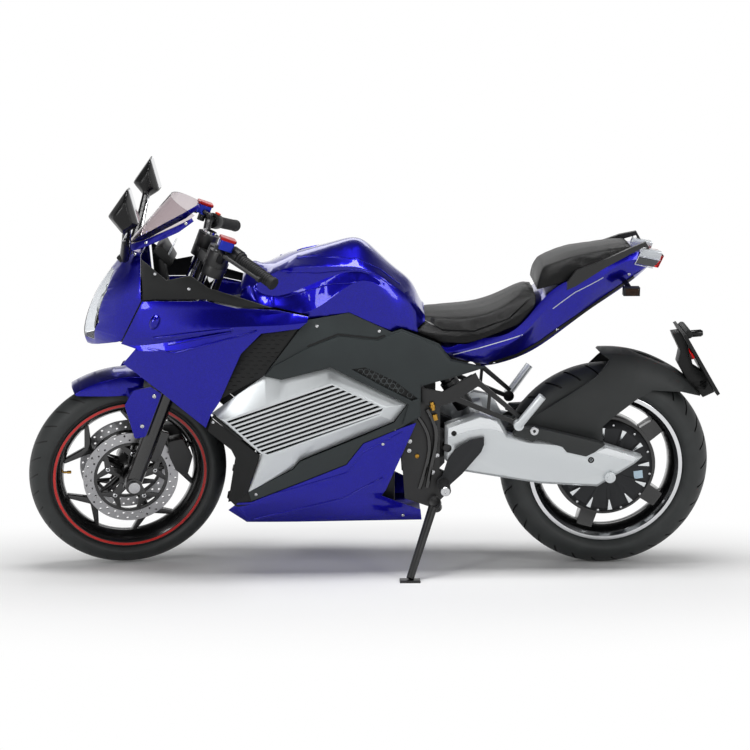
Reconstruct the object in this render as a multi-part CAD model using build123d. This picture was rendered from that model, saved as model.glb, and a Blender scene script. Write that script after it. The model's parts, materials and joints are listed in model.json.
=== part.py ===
"""Electric sports motorcycle with a hub motor, parked on its side stand, the front wheel turned a little left.

Everything is modelled upright in millimetres: X runs forward from the rear axle, Y to the rider's left and Z
up from the floor. At the end the steering is turned, the machine is leaned over on its side stand, and the
origin is put on the floor under the middle of the whole machine.
"""
import math
import os

from build123d import *

# Stance
WHEELBASE = 1400.0
RAKE = 21.5            # steering axis from the vertical, degrees
FORK_OFFSET = 28.0     # fork legs ahead of the steering axis
LEAN = 9.3             # lean on the side stand, degrees
STEER = 14.0           # steering turned to the left when parked, degrees

# Tyres and rims
SEAT_R = 212.0         # bead seat of the tyre
FRONT_TYRE_H = 81.0    # height of the tyre above its bead seat
FRONT_TYRE_W = 110.0
REAR_TYRE_H = 95.0
REAR_TYRE_W = 130.0
FLANGE_H = 13.0        # height of the rim flanges above the bead seat
FLANGE_T = 6.0
FRONT_RIM_W = 84.0
REAR_RIM_W = 100.0
FIT = 0.3              # gap between pieces that seat on each other
SEAM = 1.5             # gap between neighbouring body panels

# Front wheel
SPOKES = 5
FRONT_HUB_R = 34.0
FRONT_HUB_W = 108.0
AXLE_R = 10.0
DISC_ROOM = 74.0       # from the edge of the brake disc to the bead seat, for the caliper
DISC_BAND = 30.0       # width of the brake band
DISC_T = 5.0
CARRIER_T = 6.0

# Rear wheel and hub motor
MOTOR_R = 138.0
MOTOR_W = 136.0
MOTOR_RIBS = 12
REAR_DISC_R = 110.0
REAR_AXLE_R = 9.0

# Fork and steering
LEG_HALF = 98.0        # fork legs from the middle plane
SLIDER_R = 25.0
SLIDER_L = 330.0
TUBE_R = 20.5
TUBE_TOP = 738.0       # top of the fork tubes above the axle, along the leg
LOWER_YOKE = 470.0     # underside of the lower yoke, along the leg
UPPER_YOKE = 658.0
YOKE_T = 30.0
YOKE_GAP = 6.0         # room left to the frame above and below each yoke
STEM_R = 15.0
HEAD_R = 31.0          # steering head tube

# Handlebars
BAR_R = 11.0
GRIP_R = 16.5
GRIP_IN = (-5.0, 200.0, 749.0)    # inner end of the left grip in the steering frame
GRIP_OUT = (-87.0, 300.0, 735.0)  # outer end of the left grip in the steering frame

# Body
PANEL_T = 4.0          # wall of the moulded panels
BATTERY = ((620.0, 1000.0), (215.0, 600.0), 112.0)  # x range, z range, half width
PLATE_IN = 118.0       # inner face of the frame plates
PLATE_T = 20.0

# Swingarm, stand and foot pegs
ARM_IN = 97.0
ARM_T = 38.0
ARM_BEVEL = 9.0
PIVOT = (470.0, 395.0)            # swingarm pivot, x and z
SPOOL_R = 4.0                     # threaded hole for a paddock stand spool
SPOOL_DEPTH = 25.0
SPOOL_AT = (56.0, 358.0)
STAND_PIVOT = (508.0, 163.0, 240.0)
STAND_FOOT = (581.0, 292.0)       # x and y of the foot, upright
STAND_R = 11.0
PEG_AT = (480.0, 296.0)
PEG_R = 14.0
PEG_L = 90.0

FLANGE_R = SEAT_R + FLANGE_H
FRONT_TYRE_R = SEAT_R + FRONT_TYRE_H
REAR_TYRE_R = SEAT_R + REAR_TYRE_H
DISC_R = SEAT_R - DISC_ROOM
YOKE_SWEEP = math.hypot(FORK_OFFSET, LEG_HALF) + TUBE_R + 18   # radius the yokes need when the steering turns
SIN, COS = math.sin(math.radians(RAKE)), math.cos(math.radians(RAKE))
FRONT_AXLE = Vector(WHEELBASE, 0, FRONT_TYRE_R)
STEER_FRAME = Plane(
    origin=FRONT_AXLE - Vector(COS, 0, SIN) * FORK_OFFSET, x_dir=(COS, 0, SIN), z_dir=(-SIN, 0, COS)
)
STEER_AXIS = Axis(STEER_FRAME.origin, STEER_FRAME.z_dir)
REACH = 400.0          # long enough to cut right through the body
DRAWN = (1400.0, 293.0, 307.0)    # wheelbase and tyre radii that the body below is drawn for


def laid(x, z):
    """A place on the drawn body, moved with the wheelbase and with the height of the axles."""
    share = x / DRAWN[0]
    lift = (REAR_TYRE_R - DRAWN[2]) * (1 - share) + (FRONT_TYRE_R - DRAWN[1]) * share
    return x * WHEELBASE / DRAWN[0], z + lift


def spot(x, y, z):
    """As laid, for a point in space."""
    along, up = laid(x, z)
    return along, y, up


# Shapes used all over

def side_face(points, y, radius=0.0):
    """Closed outline given in the side view as (x, z), at lateral offset y, with rounded corners."""
    corners = [(x, y, z) for x, z in points]
    edge = FilletPolyline(*corners, radius=radius, close=True) if radius else Polyline(*corners, close=True)
    return make_face(edge.edges())


def slab(points, y_in, y_out, radius=0.0):
    """The outline extruded sideways from y_in to y_out."""
    return extrude(side_face(points, y_in, radius), amount=y_out - y_in, dir=(0, 1, 0))


def body_face(points, y, radius=0.0):
    """As side_face, for an outline of the drawn body."""
    return side_face([laid(x, z) for x, z in points], y, radius)


def body_slab(points, y_in, y_out, radius=0.0):
    """As slab, for an outline of the drawn body."""
    return slab([laid(x, z) for x, z in points], y_in, y_out, radius)


def rod(start, end, radius, end_radius=None):
    """Round bar, or cone, between two points."""
    a, b = Vector(*start), Vector(*end)
    place = Plane(origin=a, z_dir=b - a)
    if end_radius is None:
        solid = Cylinder(radius, (b - a).length, align=(Align.CENTER, Align.CENTER, Align.MIN))
    else:
        solid = Cone(radius, end_radius, (b - a).length, align=(Align.CENTER, Align.CENTER, Align.MIN))
    return place.location * solid


def cross(x, z, y0, y1, radius):
    """Round bar across the machine at (x, z)."""
    return rod((x, y0, z), (x, y1, z), radius)


def body_cross(x, z, y0, y1, radius):
    """As cross, for a place on the drawn body."""
    return cross(*laid(x, z), y0, y1, radius)


def beam(p, q, w0, w1, y_half):
    """Flat bar in the wheel's plane from p to q, tapering from width w0 to w1."""
    a, b = Vector(p[0], p[1]), Vector(q[0], q[1])
    n = Vector(-(b - a).Y, (b - a).X).normalized()
    pts = [a + n * (w0 / 2), b + n * (w1 / 2), b - n * (w1 / 2), a - n * (w0 / 2)]
    return slab([(v.X, v.Y) for v in pts], -y_half, y_half)


def ring(r_out, r_in, y0, y1):
    """Flat ring about the wheel's axle."""
    return cross(0, 0, y0, y1, r_out) - cross(0, 0, y0 - 1, y1 + 1, r_in)


def spun(points):
    """Closed (radius, y) outline turned about the axle."""
    return revolve(make_face(Polyline(*points, close=True).edges()), Axis.Y)


def around(solid, count, start=0.0):
    """Copies of a solid round the axle."""
    return [solid.rotate(Axis.Y, start + 360.0 / count * i) for i in range(count)]


def pair(solid):
    """The left piece and its mirror image on the right, as one node."""
    return Compound([*solid.solids(), *mirror(solid, Plane.XZ).solids()])


def lofted(stations):
    """Solid lofted through cross sections of x, then (y, z) corners from the bottom up, closed at y = 0."""
    faces = []
    for x, edge in stations:
        pts = [spot(x, 0, edge[0][1]), *[spot(x, y, z) for y, z in edge], spot(x, 0, edge[-1][1])]
        faces.append(make_face(Polyline(*pts, close=True).edges()))
    return loft(faces)


def whole(stations):
    """As lofted, but on both sides of the middle plane."""
    faces = []
    for x, edge in stations:
        left = [spot(x, y, z) for y, z in edge]
        right = [spot(x, -y, z) for y, z in reversed(edge)]
        faces.append(make_face(Polyline(*left, *right, close=True).edges()))
    return loft(faces)


def narrowed(stations, wall):
    """The same sections, moved in by the wall and cut a little longer at both ends."""
    inner = [(x, [(y - wall, z) for y, z in edge]) for x, edge in stations]
    first, last = inner[0], inner[-1]
    step = 1.0 if last[0] > first[0] else -1.0
    return [(first[0] - step, first[1]), *inner[1:-1], (last[0] + step, last[1])]


# Wheels

def tyre(radius, width, rim_w):
    """Round-shouldered road tyre, seated between the rim's flanges."""
    bead = rim_w / 2 - FLANGE_T - FIT
    half, shoulder = width / 2, radius - 0.41 * width
    low = FLANGE_R + 1.0
    bulge = (0.5 * (low + shoulder), half - 3.0)
    outline = [
        Polyline((low, -bead), (SEAT_R + FIT, -bead), (SEAT_R + FIT, bead), (low, bead)),
        ThreePointArc((low, bead), bulge, (shoulder, half)),
        ThreePointArc((shoulder, half), (radius, 0), (shoulder, -half)),
        ThreePointArc((shoulder, -half), (bulge[0], -bulge[1]), (low, -bead)),
    ]
    return revolve(make_face([e for part in outline for e in part.edges()]), Axis.Y)


def barrel(rim_w):
    """Rim with flanges, bead seats and a drop centre."""
    half = rim_w / 2
    seat = half - FLANGE_T
    half_section = [
        (FLANGE_R, half), (FLANGE_R, seat), (SEAT_R, seat),
        (SEAT_R - 4, 0.55 * seat), (SEAT_R - 14, 0.3 * seat),
    ]
    inside = [(FLANGE_R - 11, half), (SEAT_R - 9, 0.85 * seat), (SEAT_R - 21, 0.3 * seat)]
    outer = half_section + [(r, -y) for r, y in reversed(half_section)]
    inner = [(r, -y) for r, y in inside] + list(reversed(inside))
    return spun(outer + inner)


def front_wheel():
    """Cast wheel with forked spokes, its disc carriers, and the two brake bands."""
    hub_half = FRONT_HUB_W / 2
    fork_r, rim_r = 0.47 * SEAT_R, SEAT_R - 16.0
    spread = math.radians(17.0)
    ends = [(rim_r * math.sin(a), rim_r * math.cos(a)) for a in (-spread, spread)]
    spoke = beam((0, FRONT_HUB_R - 6), (0, fork_r + 6), 26, 20, 11)
    for end in ends:
        spoke += beam((0, fork_r - 4), end, 15, 12, 9)
    wheel = barrel(FRONT_RIM_W) + cross(0, 0, -hub_half, hub_half, FRONT_HUB_R)
    wheel += around(spoke, SPOKES, 8.0)
    band_in = DISC_R - DISC_BAND
    arm = beam((0, FRONT_HUB_R - 4), (0, band_in - 4), 22, 12, CARRIER_T / 2)
    for side in (-1, 1):
        place = Pos(0, side * (hub_half - CARRIER_T / 2), 0)
        wheel += place * ring(band_in - FIT, band_in - 10, -CARRIER_T / 2, CARRIER_T / 2)
        wheel += [place * a for a in around(arm, SPOKES, 26.0)]
    wheel -= cross(0, 0, -2 * hub_half, 2 * hub_half, AXLE_R + FIT)
    y = hub_half - CARRIER_T / 2
    disc = ring(DISC_R, band_in, y - DISC_T / 2, y + DISC_T / 2)
    return wheel, pair(disc)


def rear_wheel():
    """Rim with short thick spokes round a hub motor, and the brake disc on the right."""
    half = MOTOR_W / 2
    rim = barrel(REAR_RIM_W) + ring(MOTOR_R + 12, MOTOR_R + FIT, -30, 30)
    rim += around(beam((0, MOTOR_R + 6), (0, SEAT_R - 14), 50, 46, 24), SPOKES, 20.0)
    lid = [(0, half + 10), (32, half + 10), (40, half - 4), (MOTOR_R - 16, half - 8), (MOTOR_R, half - 22)]
    motor = spun([(r, -y) for r, y in lid] + list(reversed(lid)))
    rib = beam((0, 46), (0, MOTOR_R - 20), 3, 15, 3)
    for side in (-1, 1):
        motor += [Pos(0, side * (half - 6), 0) * r for r in around(rib, MOTOR_RIBS, 7.0)]
    motor -= cross(0, 0, -REACH, REACH, REAR_AXLE_R + FIT)
    disc_y = -(half + 10 + FIT + DISC_T)
    disc = ring(REAR_DISC_R, REAR_DISC_R - 26, disc_y, disc_y + DISC_T)
    disc += [Pos(0, disc_y + DISC_T / 2, 0) * a
             for a in around(beam((0, 20), (0, REAR_DISC_R - 22), 24, 14, DISC_T / 2), SPOKES)]
    disc += ring(30, REAR_AXLE_R + FIT, disc_y, disc_y + DISC_T)
    return rim, motor, disc


# Fork, yokes and handlebars, in the steering frame: x ahead of the steering axis, z along it from the axle up

def fork():
    """Lower legs with axle bosses and caliper lugs, bright upper tubes, and the axle."""
    x, y = FORK_OFFSET, LEG_HALF
    leg = rod((x, y, -18), (x, y, SLIDER_L), SLIDER_R)
    leg += rod((x, y, SLIDER_L - 22), (x, y, SLIDER_L), SLIDER_R + 4)
    leg += rod((x, y - 27, 0), (x, y + 27, 0), 24)
    leg += Pos(x - 32, y - 8, 128) * Box(34, 16, 92)
    leg -= rod((x, 0, 0), (x, REACH, 0), AXLE_R + FIT)
    tube = rod((x, y, SLIDER_L), (x, y, TUBE_TOP), TUBE_R)
    axle = rod((x, -(y + 32), 0), (x, y + 32, 0), AXLE_R)
    axle += rod((x, y + 27 + FIT, 0), (x, y + 38, 0), 17)
    return pair(leg), pair(tube), axle


def yokes():
    """Two yokes that clamp the fork tubes, joined by the stem that turns in the steering head."""
    x, y = FORK_OFFSET, LEG_HALF
    made = rod((0, 0, LOWER_YOKE), (0, 0, UPPER_YOKE + YOKE_T), STEM_R)
    for z in (LOWER_YOKE, UPPER_YOKE):
        half = [(30, 0), (x + 22, y), (x - 14, y), (-26, 30)]
        outline = Polyline(*half, *[(u, -v) for u, v in reversed(half[1:])], close=True)
        plate = Pos(0, 0, z) * extrude(make_face(outline.edges()), YOKE_T)
        for side in (-1, 1):
            plate += rod((x, side * y, z), (x, side * y, z + YOKE_T), TUBE_R + 11)
        made += plate
    made += rod((6, 0, UPPER_YOKE), (6, 0, UPPER_YOKE + YOKE_T + 34), 33)
    for side in (-1, 1):
        made -= rod((x, side * y, 0), (x, side * y, 2 * TUBE_TOP), TUBE_R + FIT)
    return made


def handlebars():
    """Clip-on bars, grips, switch pods, levers and fluid reservoirs."""
    x, y = FORK_OFFSET, LEG_HALF
    low = UPPER_YOKE + YOKE_T + FIT
    high = TUBE_TOP - 8.0
    inner, outer = Vector(*GRIP_IN), Vector(*GRIP_OUT)
    along = (outer - inner).normalized()
    bend = inner - along * 55.0
    clamp = rod((x, y, low), (x, y, high), TUBE_R + 11)
    start = Vector(x, y + TUBE_R + 6, 0.5 * (low + high))
    path = FilletPolyline(start, bend, outer, radius=24)
    bar = sweep(Plane(origin=start, z_dir=bend - start) * Circle(BAR_R), path=path)
    bar = clamp + bar - rod((x, y, 0), (x, y, 2 * TUBE_TOP), TUBE_R + FIT)
    grip = rod(inner, outer + along * 6, GRIP_R) + rod(inner, inner + along * 7, GRIP_R + 5)
    grip += rod(outer - along * 4, outer + along * 6, GRIP_R + 1.5)
    grip -= rod(inner - along * 5, outer + along * FIT, BAR_R + FIT)
    pod_in = inner - along * (FIT + 34)
    pod = rod(pod_in, inner - along * FIT, 23) - rod(pod_in - along * 5, inner, BAR_R + FIT)
    ahead = Vector(1, 0, 0)
    pivot = inner - along * 30 + ahead * 34
    tip = outer + ahead * 46 + along * 4
    knuckle = inner + ahead * 62 + along * 20
    lever = rod(pivot, knuckle, 8, 6) + rod(knuckle, tip, 6, 5) + rod(tip - along * 3, tip + along * 7, 7.5)
    lever += rod(pivot - Vector(0, 0, 9), pivot + Vector(0, 0, 9), 11)
    at = Vector(46, 197, 774)
    cup = Pos(*at) * Box(40, 34, 26)
    cup = fillet(cup.edges().filter_by(Axis.Z), 6) + rod(pivot, at, 8)
    cap = Pos(*(at + Vector(0, 0, 17 + FIT))) * Box(46, 40, 8)
    cap = fillet(cap.edges().filter_by(Axis.Z), 7)
    return pair(bar), pair(grip), pair(pod), pair(lever), pair(cup - lever - pod), pair(cap)


def front_mudguard():
    """Blue mudguard over the front tyre with its side brackets on the fork legs."""
    gap = 16.0
    r, w = FRONT_TYRE_R + gap, FRONT_TYRE_W / 2
    section = [(r + PANEL_T, 0), (r, w - 4), (r - 42, w + 14), (r - 60, w + 16), (r - 60, w + 16 - PANEL_T),
               (r - 43, w + 14 - PANEL_T), (r - 3, w - 7), (r, 0)]
    shell = revolve(make_face(Polyline(*section, close=True).edges()), Axis.Y)
    shell += mirror(shell, Plane.XZ)
    # x ahead of the axle and z above it, upright, for the drawn tyre
    share = FRONT_TYRE_R / DRAWN[1]
    outline = [(172, 285), (140, 300), (0, 345), (-58, 335), (-40, 268), (8, 260), (145, 264)]
    shell = shell & slab([(x * share, z * share) for x, z in outline], -REACH, REACH)
    shell = Pos(*FRONT_AXLE) * shell
    bracket = [(-8, 296), (-58, 303), (-88, 280), (-38, 153), (-7, 149), (18, 253)]
    side_in = LEG_HALF + SLIDER_R + FIT
    bracket = [(x * share, z * share) for x, z in bracket]
    tab = Pos(*FRONT_AXLE) * slab(bracket, side_in, side_in + PANEL_T, 8)
    web = [(x * share, z * share) for x, z in [(8, 262), (-40, 268), (-44, 285), (2, 282)]]
    web = Pos(*FRONT_AXLE) * slab(web, w + 12, side_in + 1)
    return shell, pair(tab + web - shell)


def calipers():
    """Front calipers behind the fork legs, each straddling its brake band."""
    y = FRONT_HUB_W / 2 - CARRIER_T / 2
    # x ahead of the axle and z above it, in shares of the disc's radius
    outline = [
        (-0.783, 0.812), (-1.087, 0.855), (-1.290, 0.435), (-1.159, -0.014), (-0.928, 0.145), (-0.812, 0.435),
    ]
    block = slab([(x * DISC_R, z * DISC_R) for x, z in outline], y - 15, LEG_HALF - 16 - FIT, 8)
    block -= cross(0, 0, y - DISC_T / 2 - 1.5, y + DISC_T / 2 + 1.5, DISC_R + 5)
    return pair(Pos(*FRONT_AXLE) * block)


# Body panels. Side view outlines are (x, z); flank stations are x, then (y, z) corners from the bottom up.

UPPER_FLANK = [
    # foot, lower crease, shelf, upper crease, shoulder, top
    (1410, [(124, 400), (150, 700), (146, 712), (152, 730), (150, 790), (146, 850)]),
    (1320, [(158, 400), (184, 699), (176, 714), (187, 740), (173, 810), (164, 850)]),
    (1165, [(178, 400), (206, 716), (194, 742), (205, 764), (180, 820), (170, 850)]),
    (993, [(175, 400), (206, 750), (202, 762), (204, 774), (174, 808), (164, 850)]),
    (850, [(155, 400), (188, 772), (186, 778), (186, 784), (174, 800), (160, 850)]),
]
MID_FLANK = [
    (1180, [(116, 160), (146, 240), (160, 400), (170, 520), (178, 640), (178, 820)]),
    (1000, [(122, 160), (158, 250), (172, 400), (178, 520), (176, 640), (178, 820)]),
    (800, [(120, 160), (158, 270), (176, 440), (178, 560), (174, 660), (160, 820)]),
    (600, [(112, 160), (148, 260), (168, 440), (166, 540), (158, 640), (146, 820)]),
    (450, [(106, 160), (138, 260), (156, 440), (152, 540), (146, 640), (138, 820)]),
    (350, [(100, 160), (130, 260), (144, 440), (138, 540), (122, 640), (116, 820)]),
]
COCKPIT_FLANK = [
    (1340, [(166, 820), (128, 965)]),
    (1148, [(172, 820), (134, 965)]),
    (940, [(170, 800), (134, 860)]),
]
SIDE_FAIRING = [
    (1325, 835), (1389, 713), (1347, 703), (1386, 656), (1353, 635), (1276, 577), (1156, 475), (1142, 512),
    (1117, 550), (1052, 695), (995, 753), (890, 764), (867, 782), (865, 794), (954, 811), (1062, 818),
    (1148, 838), (1291, 838),
]
COCKPIT = [
    (1324, 838), (1328, 950), (1257, 893), (1190, 906), (1140, 872), (1062, 848), (962, 816), (1062, 821),
    (1148, 841), (1290, 841),
]
INFILL = [(993, 745), (895, 757), (968, 657), (990, 625), (1119, 553), (1055, 689)]
SIDE_COVER = [
    (865, 782), (751, 800), (631, 742), (605, 751), (499, 708), (463, 662), (362, 634), (548, 587),
    (549, 499), (603, 469), (712, 424), (761, 359), (1033, 246), (1041, 275), (1004, 390), (989, 623),
    (965, 656), (890, 755),
]
SIDE_PAD = [
    (872, 702), (781, 735), (672, 720), (604, 745), (502, 702), (466, 660), (380, 638), (552, 592),
    (553, 503), (600, 478), (583, 537), (803, 652), (942, 618), (984, 628), (962, 654),
]
PAD_RISE = 7.0
VENT = [(744, 642), (707, 647), (623, 606), (557, 553), (574, 547), (665, 595)]
GRILLE_EDGE = [
    (1142, 510), (989, 621), (942, 611), (803, 645), (588, 535), (625, 484), (893, 369), (912, 345),
    (1041, 275), (1004, 390),
]
GRILLE_FACE = [
    (1107, 497), (985, 541), (942, 556), (800, 605), (649, 533), (663, 509), (885, 426), (915, 415),
    (982, 390), (1001, 398),
]
GRILLE_RISE = (160.0, 187.0)   # lateral places of the edge and of the slatted face
SLATS = 11
DUCT = [
    (1141, 500), (1006, 387), (1044, 272), (1071, 248), (1100, 243), (1076, 380), (1087, 404), (1152, 460),
]
BELLY = [
    (1101, 214), (1049, 171), (541, 171), (545, 207), (659, 258), (647, 275), (561, 481), (603, 467),
    (711, 422), (760, 357), (1033, 243), (1072, 240),
]
SPAR = [
    (1030, 800), (1030, 715), (700, 520), (606, 440), (592, 246), (510, 216), (462, 270), (462, 316),
    (492, 330), (492, 520), (560, 600), (700, 690),
]


def grown(points, gap):
    """The outline moved outwards by gap."""
    face = body_face(points, 0)
    wider = offset(Plane.XZ.to_local_coords(face), gap, kind=Kind.INTERSECTION)
    return Plane.XZ * wider


def clear_of(points, gap):
    """Cutter that leaves a seam round a neighbour's outline."""
    return extrude(grown(points, gap), amount=REACH, both=True)


def panel(outline, flank, wall=PANEL_T, radius=0.0):
    """Left panel: the flank's skin inside a side view outline."""
    return (body_slab(outline, 60, REACH, radius) & lofted(flank)) - lofted(narrowed(flank, wall))


def grille():
    """Silver cover: a sloping frame that rises to a face with parallel slots."""
    y0, y1 = GRILLE_RISE
    cover = loft([body_face(GRILLE_EDGE, y0), body_face(GRILLE_FACE, y1)], ruled=True)
    cover -= Pos(0, -6, 0) * cover
    a, b = Vector(*GRILLE_FACE[0]), Vector(*GRILLE_FACE[3])
    along = (b - a).normalized()
    down = Vector(-along.Y, along.X) if along.X < 0 else Vector(along.Y, -along.X)
    if down.Y > 0:
        down = down * -1
    depth = (Vector(*GRILLE_FACE[8]) - a).dot(down)
    pitch = depth / (SLATS + 0.5)
    middle = (a + b) * 0.5
    bars = []
    for i in range(SLATS):
        c = middle + down * (pitch * (i + 0.75))
        p, q = c - along * 400, c + along * 400
        n = down * (0.27 * pitch)
        bars.append(body_slab([(v.X, v.Y) for v in (p + n, q + n, q - n, p - n)], y1 - 30, y1 + 10))
    window = extrude(grown(GRILLE_FACE, -5.0), amount=REACH, both=True)
    for bar in bars:
        cover -= bar & window
    return cover


NOSE = [
    # z, tip, half width at the back, at the cheek, near the tip
    (684, 1502, 152, 120, 66),
    (733, 1509, 164, 136, 84),
    (800, 1488, 170, 142, 94),
    (850, 1463, 166, 136, 88),
    (905, 1424, 150, 118, 76),
    (958, 1386, 130, 98, 60),
]
NOSE_BACK = 1318.0
NOSE_SIDE = [(1329, 837), (1391, 716), (1500, 680), (1540, 680), (1540, 960), (1332, 960)]
LAMP = [(-66, 706), (66, 706), (96, 762), (88, 850), (52, 902), (-52, 902), (-88, 850), (-96, 762)]
SCREEN_FOOT, SCREEN_TOP = (952.0, 1395.0), (1112.0, 1251.0)   # z and x of the middle line
SCREEN_BACK, SCREEN_HALF, SCREEN_T = 1150.0, 118.0, 3.0
SCREEN_LOW = [(1368, 974), (1319, 994), (1228, 1038), (1186, 1061)]   # lower edge, from the nose back
SCREEN_SIDE = [(1410, 944), *SCREEN_LOW, (1178, 1069), (1256, 1114), (1300, 1114), (1440, 960)]
TRIM_DEPTH = (17.0, 17.0, 17.0, 9.0)


def nose_level(row, wall=0.0, drop=0.0):
    """Horizontal section of the nose, its wall moved in and the section lowered where asked."""
    z, tip, rear, cheek, front = row
    back = NOSE_BACK - 4 * wall
    span = tip - NOSE_BACK
    half = [(tip - wall, 24 - wall / 2), (NOSE_BACK + 0.8 * span - wall, front - wall),
            (NOSE_BACK + 0.45 * span, cheek - wall), (back, rear - wall)]
    pts = half + [(x, -y) for x, y in reversed(half)]
    return make_face(Polyline(*[spot(x, y, z - drop) for x, y in pts], close=True).edges())


def nose():
    """Nose cowl, headlamp lens, and the lamp unit behind the lens."""
    wall = PANEL_T + 1
    outer = loft([nose_level(row) for row in NOSE])
    inner = loft([nose_level(row, wall, wall) for row in NOSE])
    shell = (outer - inner) & body_slab(NOSE_SIDE, -REACH, REACH)
    edge = Polyline(*[spot(1335, y, z) for y, z in LAMP], close=True)
    eye = extrude(make_face(edge.edges()), REACH, dir=(1, 0, 0))
    lens = shell & eye
    rim = offset(make_face(Polyline(*LAMP, close=True).edges()), SEAM, kind=Kind.INTERSECTION)
    hole = Plane(origin=spot(1335, 0, 0), x_dir=(0, 1, 0), z_dir=(1, 0, 0)) * extrude(rim, REACH)
    unit = loft([nose_level(row, wall + 26, 0) for row in NOSE[:5]])
    unit = unit & (eye & Pos(*spot(1430, 0, 800)) * Box(160, 150, 150))
    return shell - hole, lens, unit


def screen_shell(out, into):
    """Half-elliptical shell of the windscreen, grown outwards and inwards."""
    solids = []
    for grow in (out, -into):
        faces = []
        for z, x in (SCREEN_FOOT, SCREEN_TOP):
            back, _ = laid(SCREEN_BACK, z)
            x, z = laid(x, z)
            radii = (x - back + grow, SCREEN_HALF + grow)
            arc = EllipticalCenterArc((back, 0), *radii, start_angle=-90, arc_size=180)
            chord = Line(arc @ 1, arc @ 0)
            faces.append(Pos(0, 0, z) * make_face([*arc.edges(), *chord.edges()]))
        solids.append(loft(faces, ruled=True))
    inner = solids[1]
    return solids[0] - inner - Pos(-5, 0, 0) * inner


def windscreen():
    """Smoked screen, and the painted trim that carries its lower edge."""
    screen = screen_shell(SCREEN_T / 2, SCREEN_T / 2) & body_slab(SCREEN_SIDE, -REACH, REACH)
    band = [(x, z - 0.5) for x, z in SCREEN_LOW]
    band += reversed([(x - 5, z - depth) for (x, z), depth in zip(SCREEN_LOW, TRIM_DEPTH)])
    trim = screen_shell(SCREEN_T / 2 + 3, SCREEN_T / 2 + 3) & body_slab(band, -REACH, REACH)
    return screen, trim


def instrument():
    """Dash with its hood, and the stay that carries dash, lamp and nose from the steering head."""
    dash = body_slab([(1303, 958), (1258, 914), (1246, 924), (1274, 976)], -70, 70, 4)
    outline = [
        (1196, 800), (1196, 830), (1262, 832), (1276, 922), (1284, 930), (1292, 922), (1284, 832), (1362, 826),
        (1362, 800),
    ]
    return dash, body_slab(outline, -22, 22) - dash


TANK = [
    # x, then half section from the bottom up: hem, knee crease, hollow, shoulder, ridge, top
    (1056, [(110, 822), (110, 838), (98, 846), (92, 856), (44, 868), (14, 872)]),
    (1000, [(140, 800), (138, 822), (112, 850), (112, 882), (52, 903), (16, 909)]),
    (930, [(152, 780), (152, 800), (114, 844), (122, 918), (54, 928), (16, 930)]),
    (860, [(156, 765), (157, 806), (120, 872), (129, 926), (54, 947), (16, 951)]),
    (780, [(156, 755), (158, 858), (126, 904), (133, 928), (54, 968), (16, 973)]),
    (720, [(156, 745), (152, 890), (134, 912), (134, 924), (52, 972), (16, 979)]),
    (670, [(152, 732), (143, 876), (133, 892), (131, 902), (48, 934), (16, 942)]),
    (610, [(138, 716), (132, 836), (124, 850), (120, 858), (44, 880), (14, 888)]),
    (560, [(116, 712), (108, 790), (100, 802), (95, 810), (40, 828), (14, 834)]),
    (536, [(98, 712), (92, 762), (86, 770), (82, 776), (36, 788), (12, 792)]),
]
RIDER_SEAT = [
    (592, [(94, 730), (94, 752), (70, 762), (20, 766)]),
    (530, [(118, 706), (122, 738), (90, 762), (24, 768)]),
    (446, [(140, 702), (142, 728), (112, 764), (30, 772)]),
    (318, [(138, 730), (140, 760), (112, 794), (30, 801)]),
    (250, [(120, 770), (122, 802), (98, 832), (26, 840)]),
    (224, [(108, 800), (110, 822), (90, 842), (26, 849)]),
]
PILLION = [
    (222, [(96, 848), (98, 878), (78, 906), (22, 912)]),
    (180, [(112, 862), (114, 896), (92, 924), (26, 930)]),
    (102, [(110, 892), (112, 918), (90, 942), (26, 948)]),
    (20, [(100, 926), (102, 938), (82, 956), (24, 961)]),
    (-56, [(82, 956), (82, 960), (66, 965), (22, 967)]),
]
SEAT_LINE = [
    (600, 742), (498, 706), (422, 704), (268, 757), (223, 806), (223, 850), (171, 868), (32, 925), (-62, 957),
]
TAIL = [
    # x, then half section from the bottom up: keel, low crease, high crease, top
    (498, [(110, 664), (138, 676), (148, 692), (140, 704)]),
    (440, [(104, 642), (134, 664), (150, 690), (140, 706)]),
    (362, [(96, 630), (122, 656), (148, 696), (140, 722)]),
    (268, [(84, 652), (108, 686), (138, 726), (132, 758)]),
    (205, [(78, 684), (98, 726), (122, 790), (112, 826)]),
    (150, [(76, 724), (94, 762), (118, 836), (110, 872)]),
    (20, [(66, 818), (86, 846), (110, 906), (104, 926)]),
    (-60, [(52, 872), (74, 892), (90, 936), (84, 956)]),
    (-104, [(38, 906), (54, 918), (62, 934), (50, 946)]),
]


def tank_and_seats():
    """Tank cover, the two seats, and the tail cowl under them."""
    tank = whole(TANK)
    for near in (SIDE_COVER, SIDE_FAIRING):
        tank -= clear_of(near, SEAM)
    above = body_slab([*SEAT_LINE, (-62, 1100), (600, 1100)], -REACH, REACH)
    rider, pillion = whole(RIDER_SEAT) & above, whole(PILLION) & above
    tank = (tank - rider).solids().sort_by(SortBy.VOLUME)[-1]
    tail = whole(TAIL) - clear_of(SIDE_COVER, SEAM) - above
    return tank, rider, pillion, tail


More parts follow.
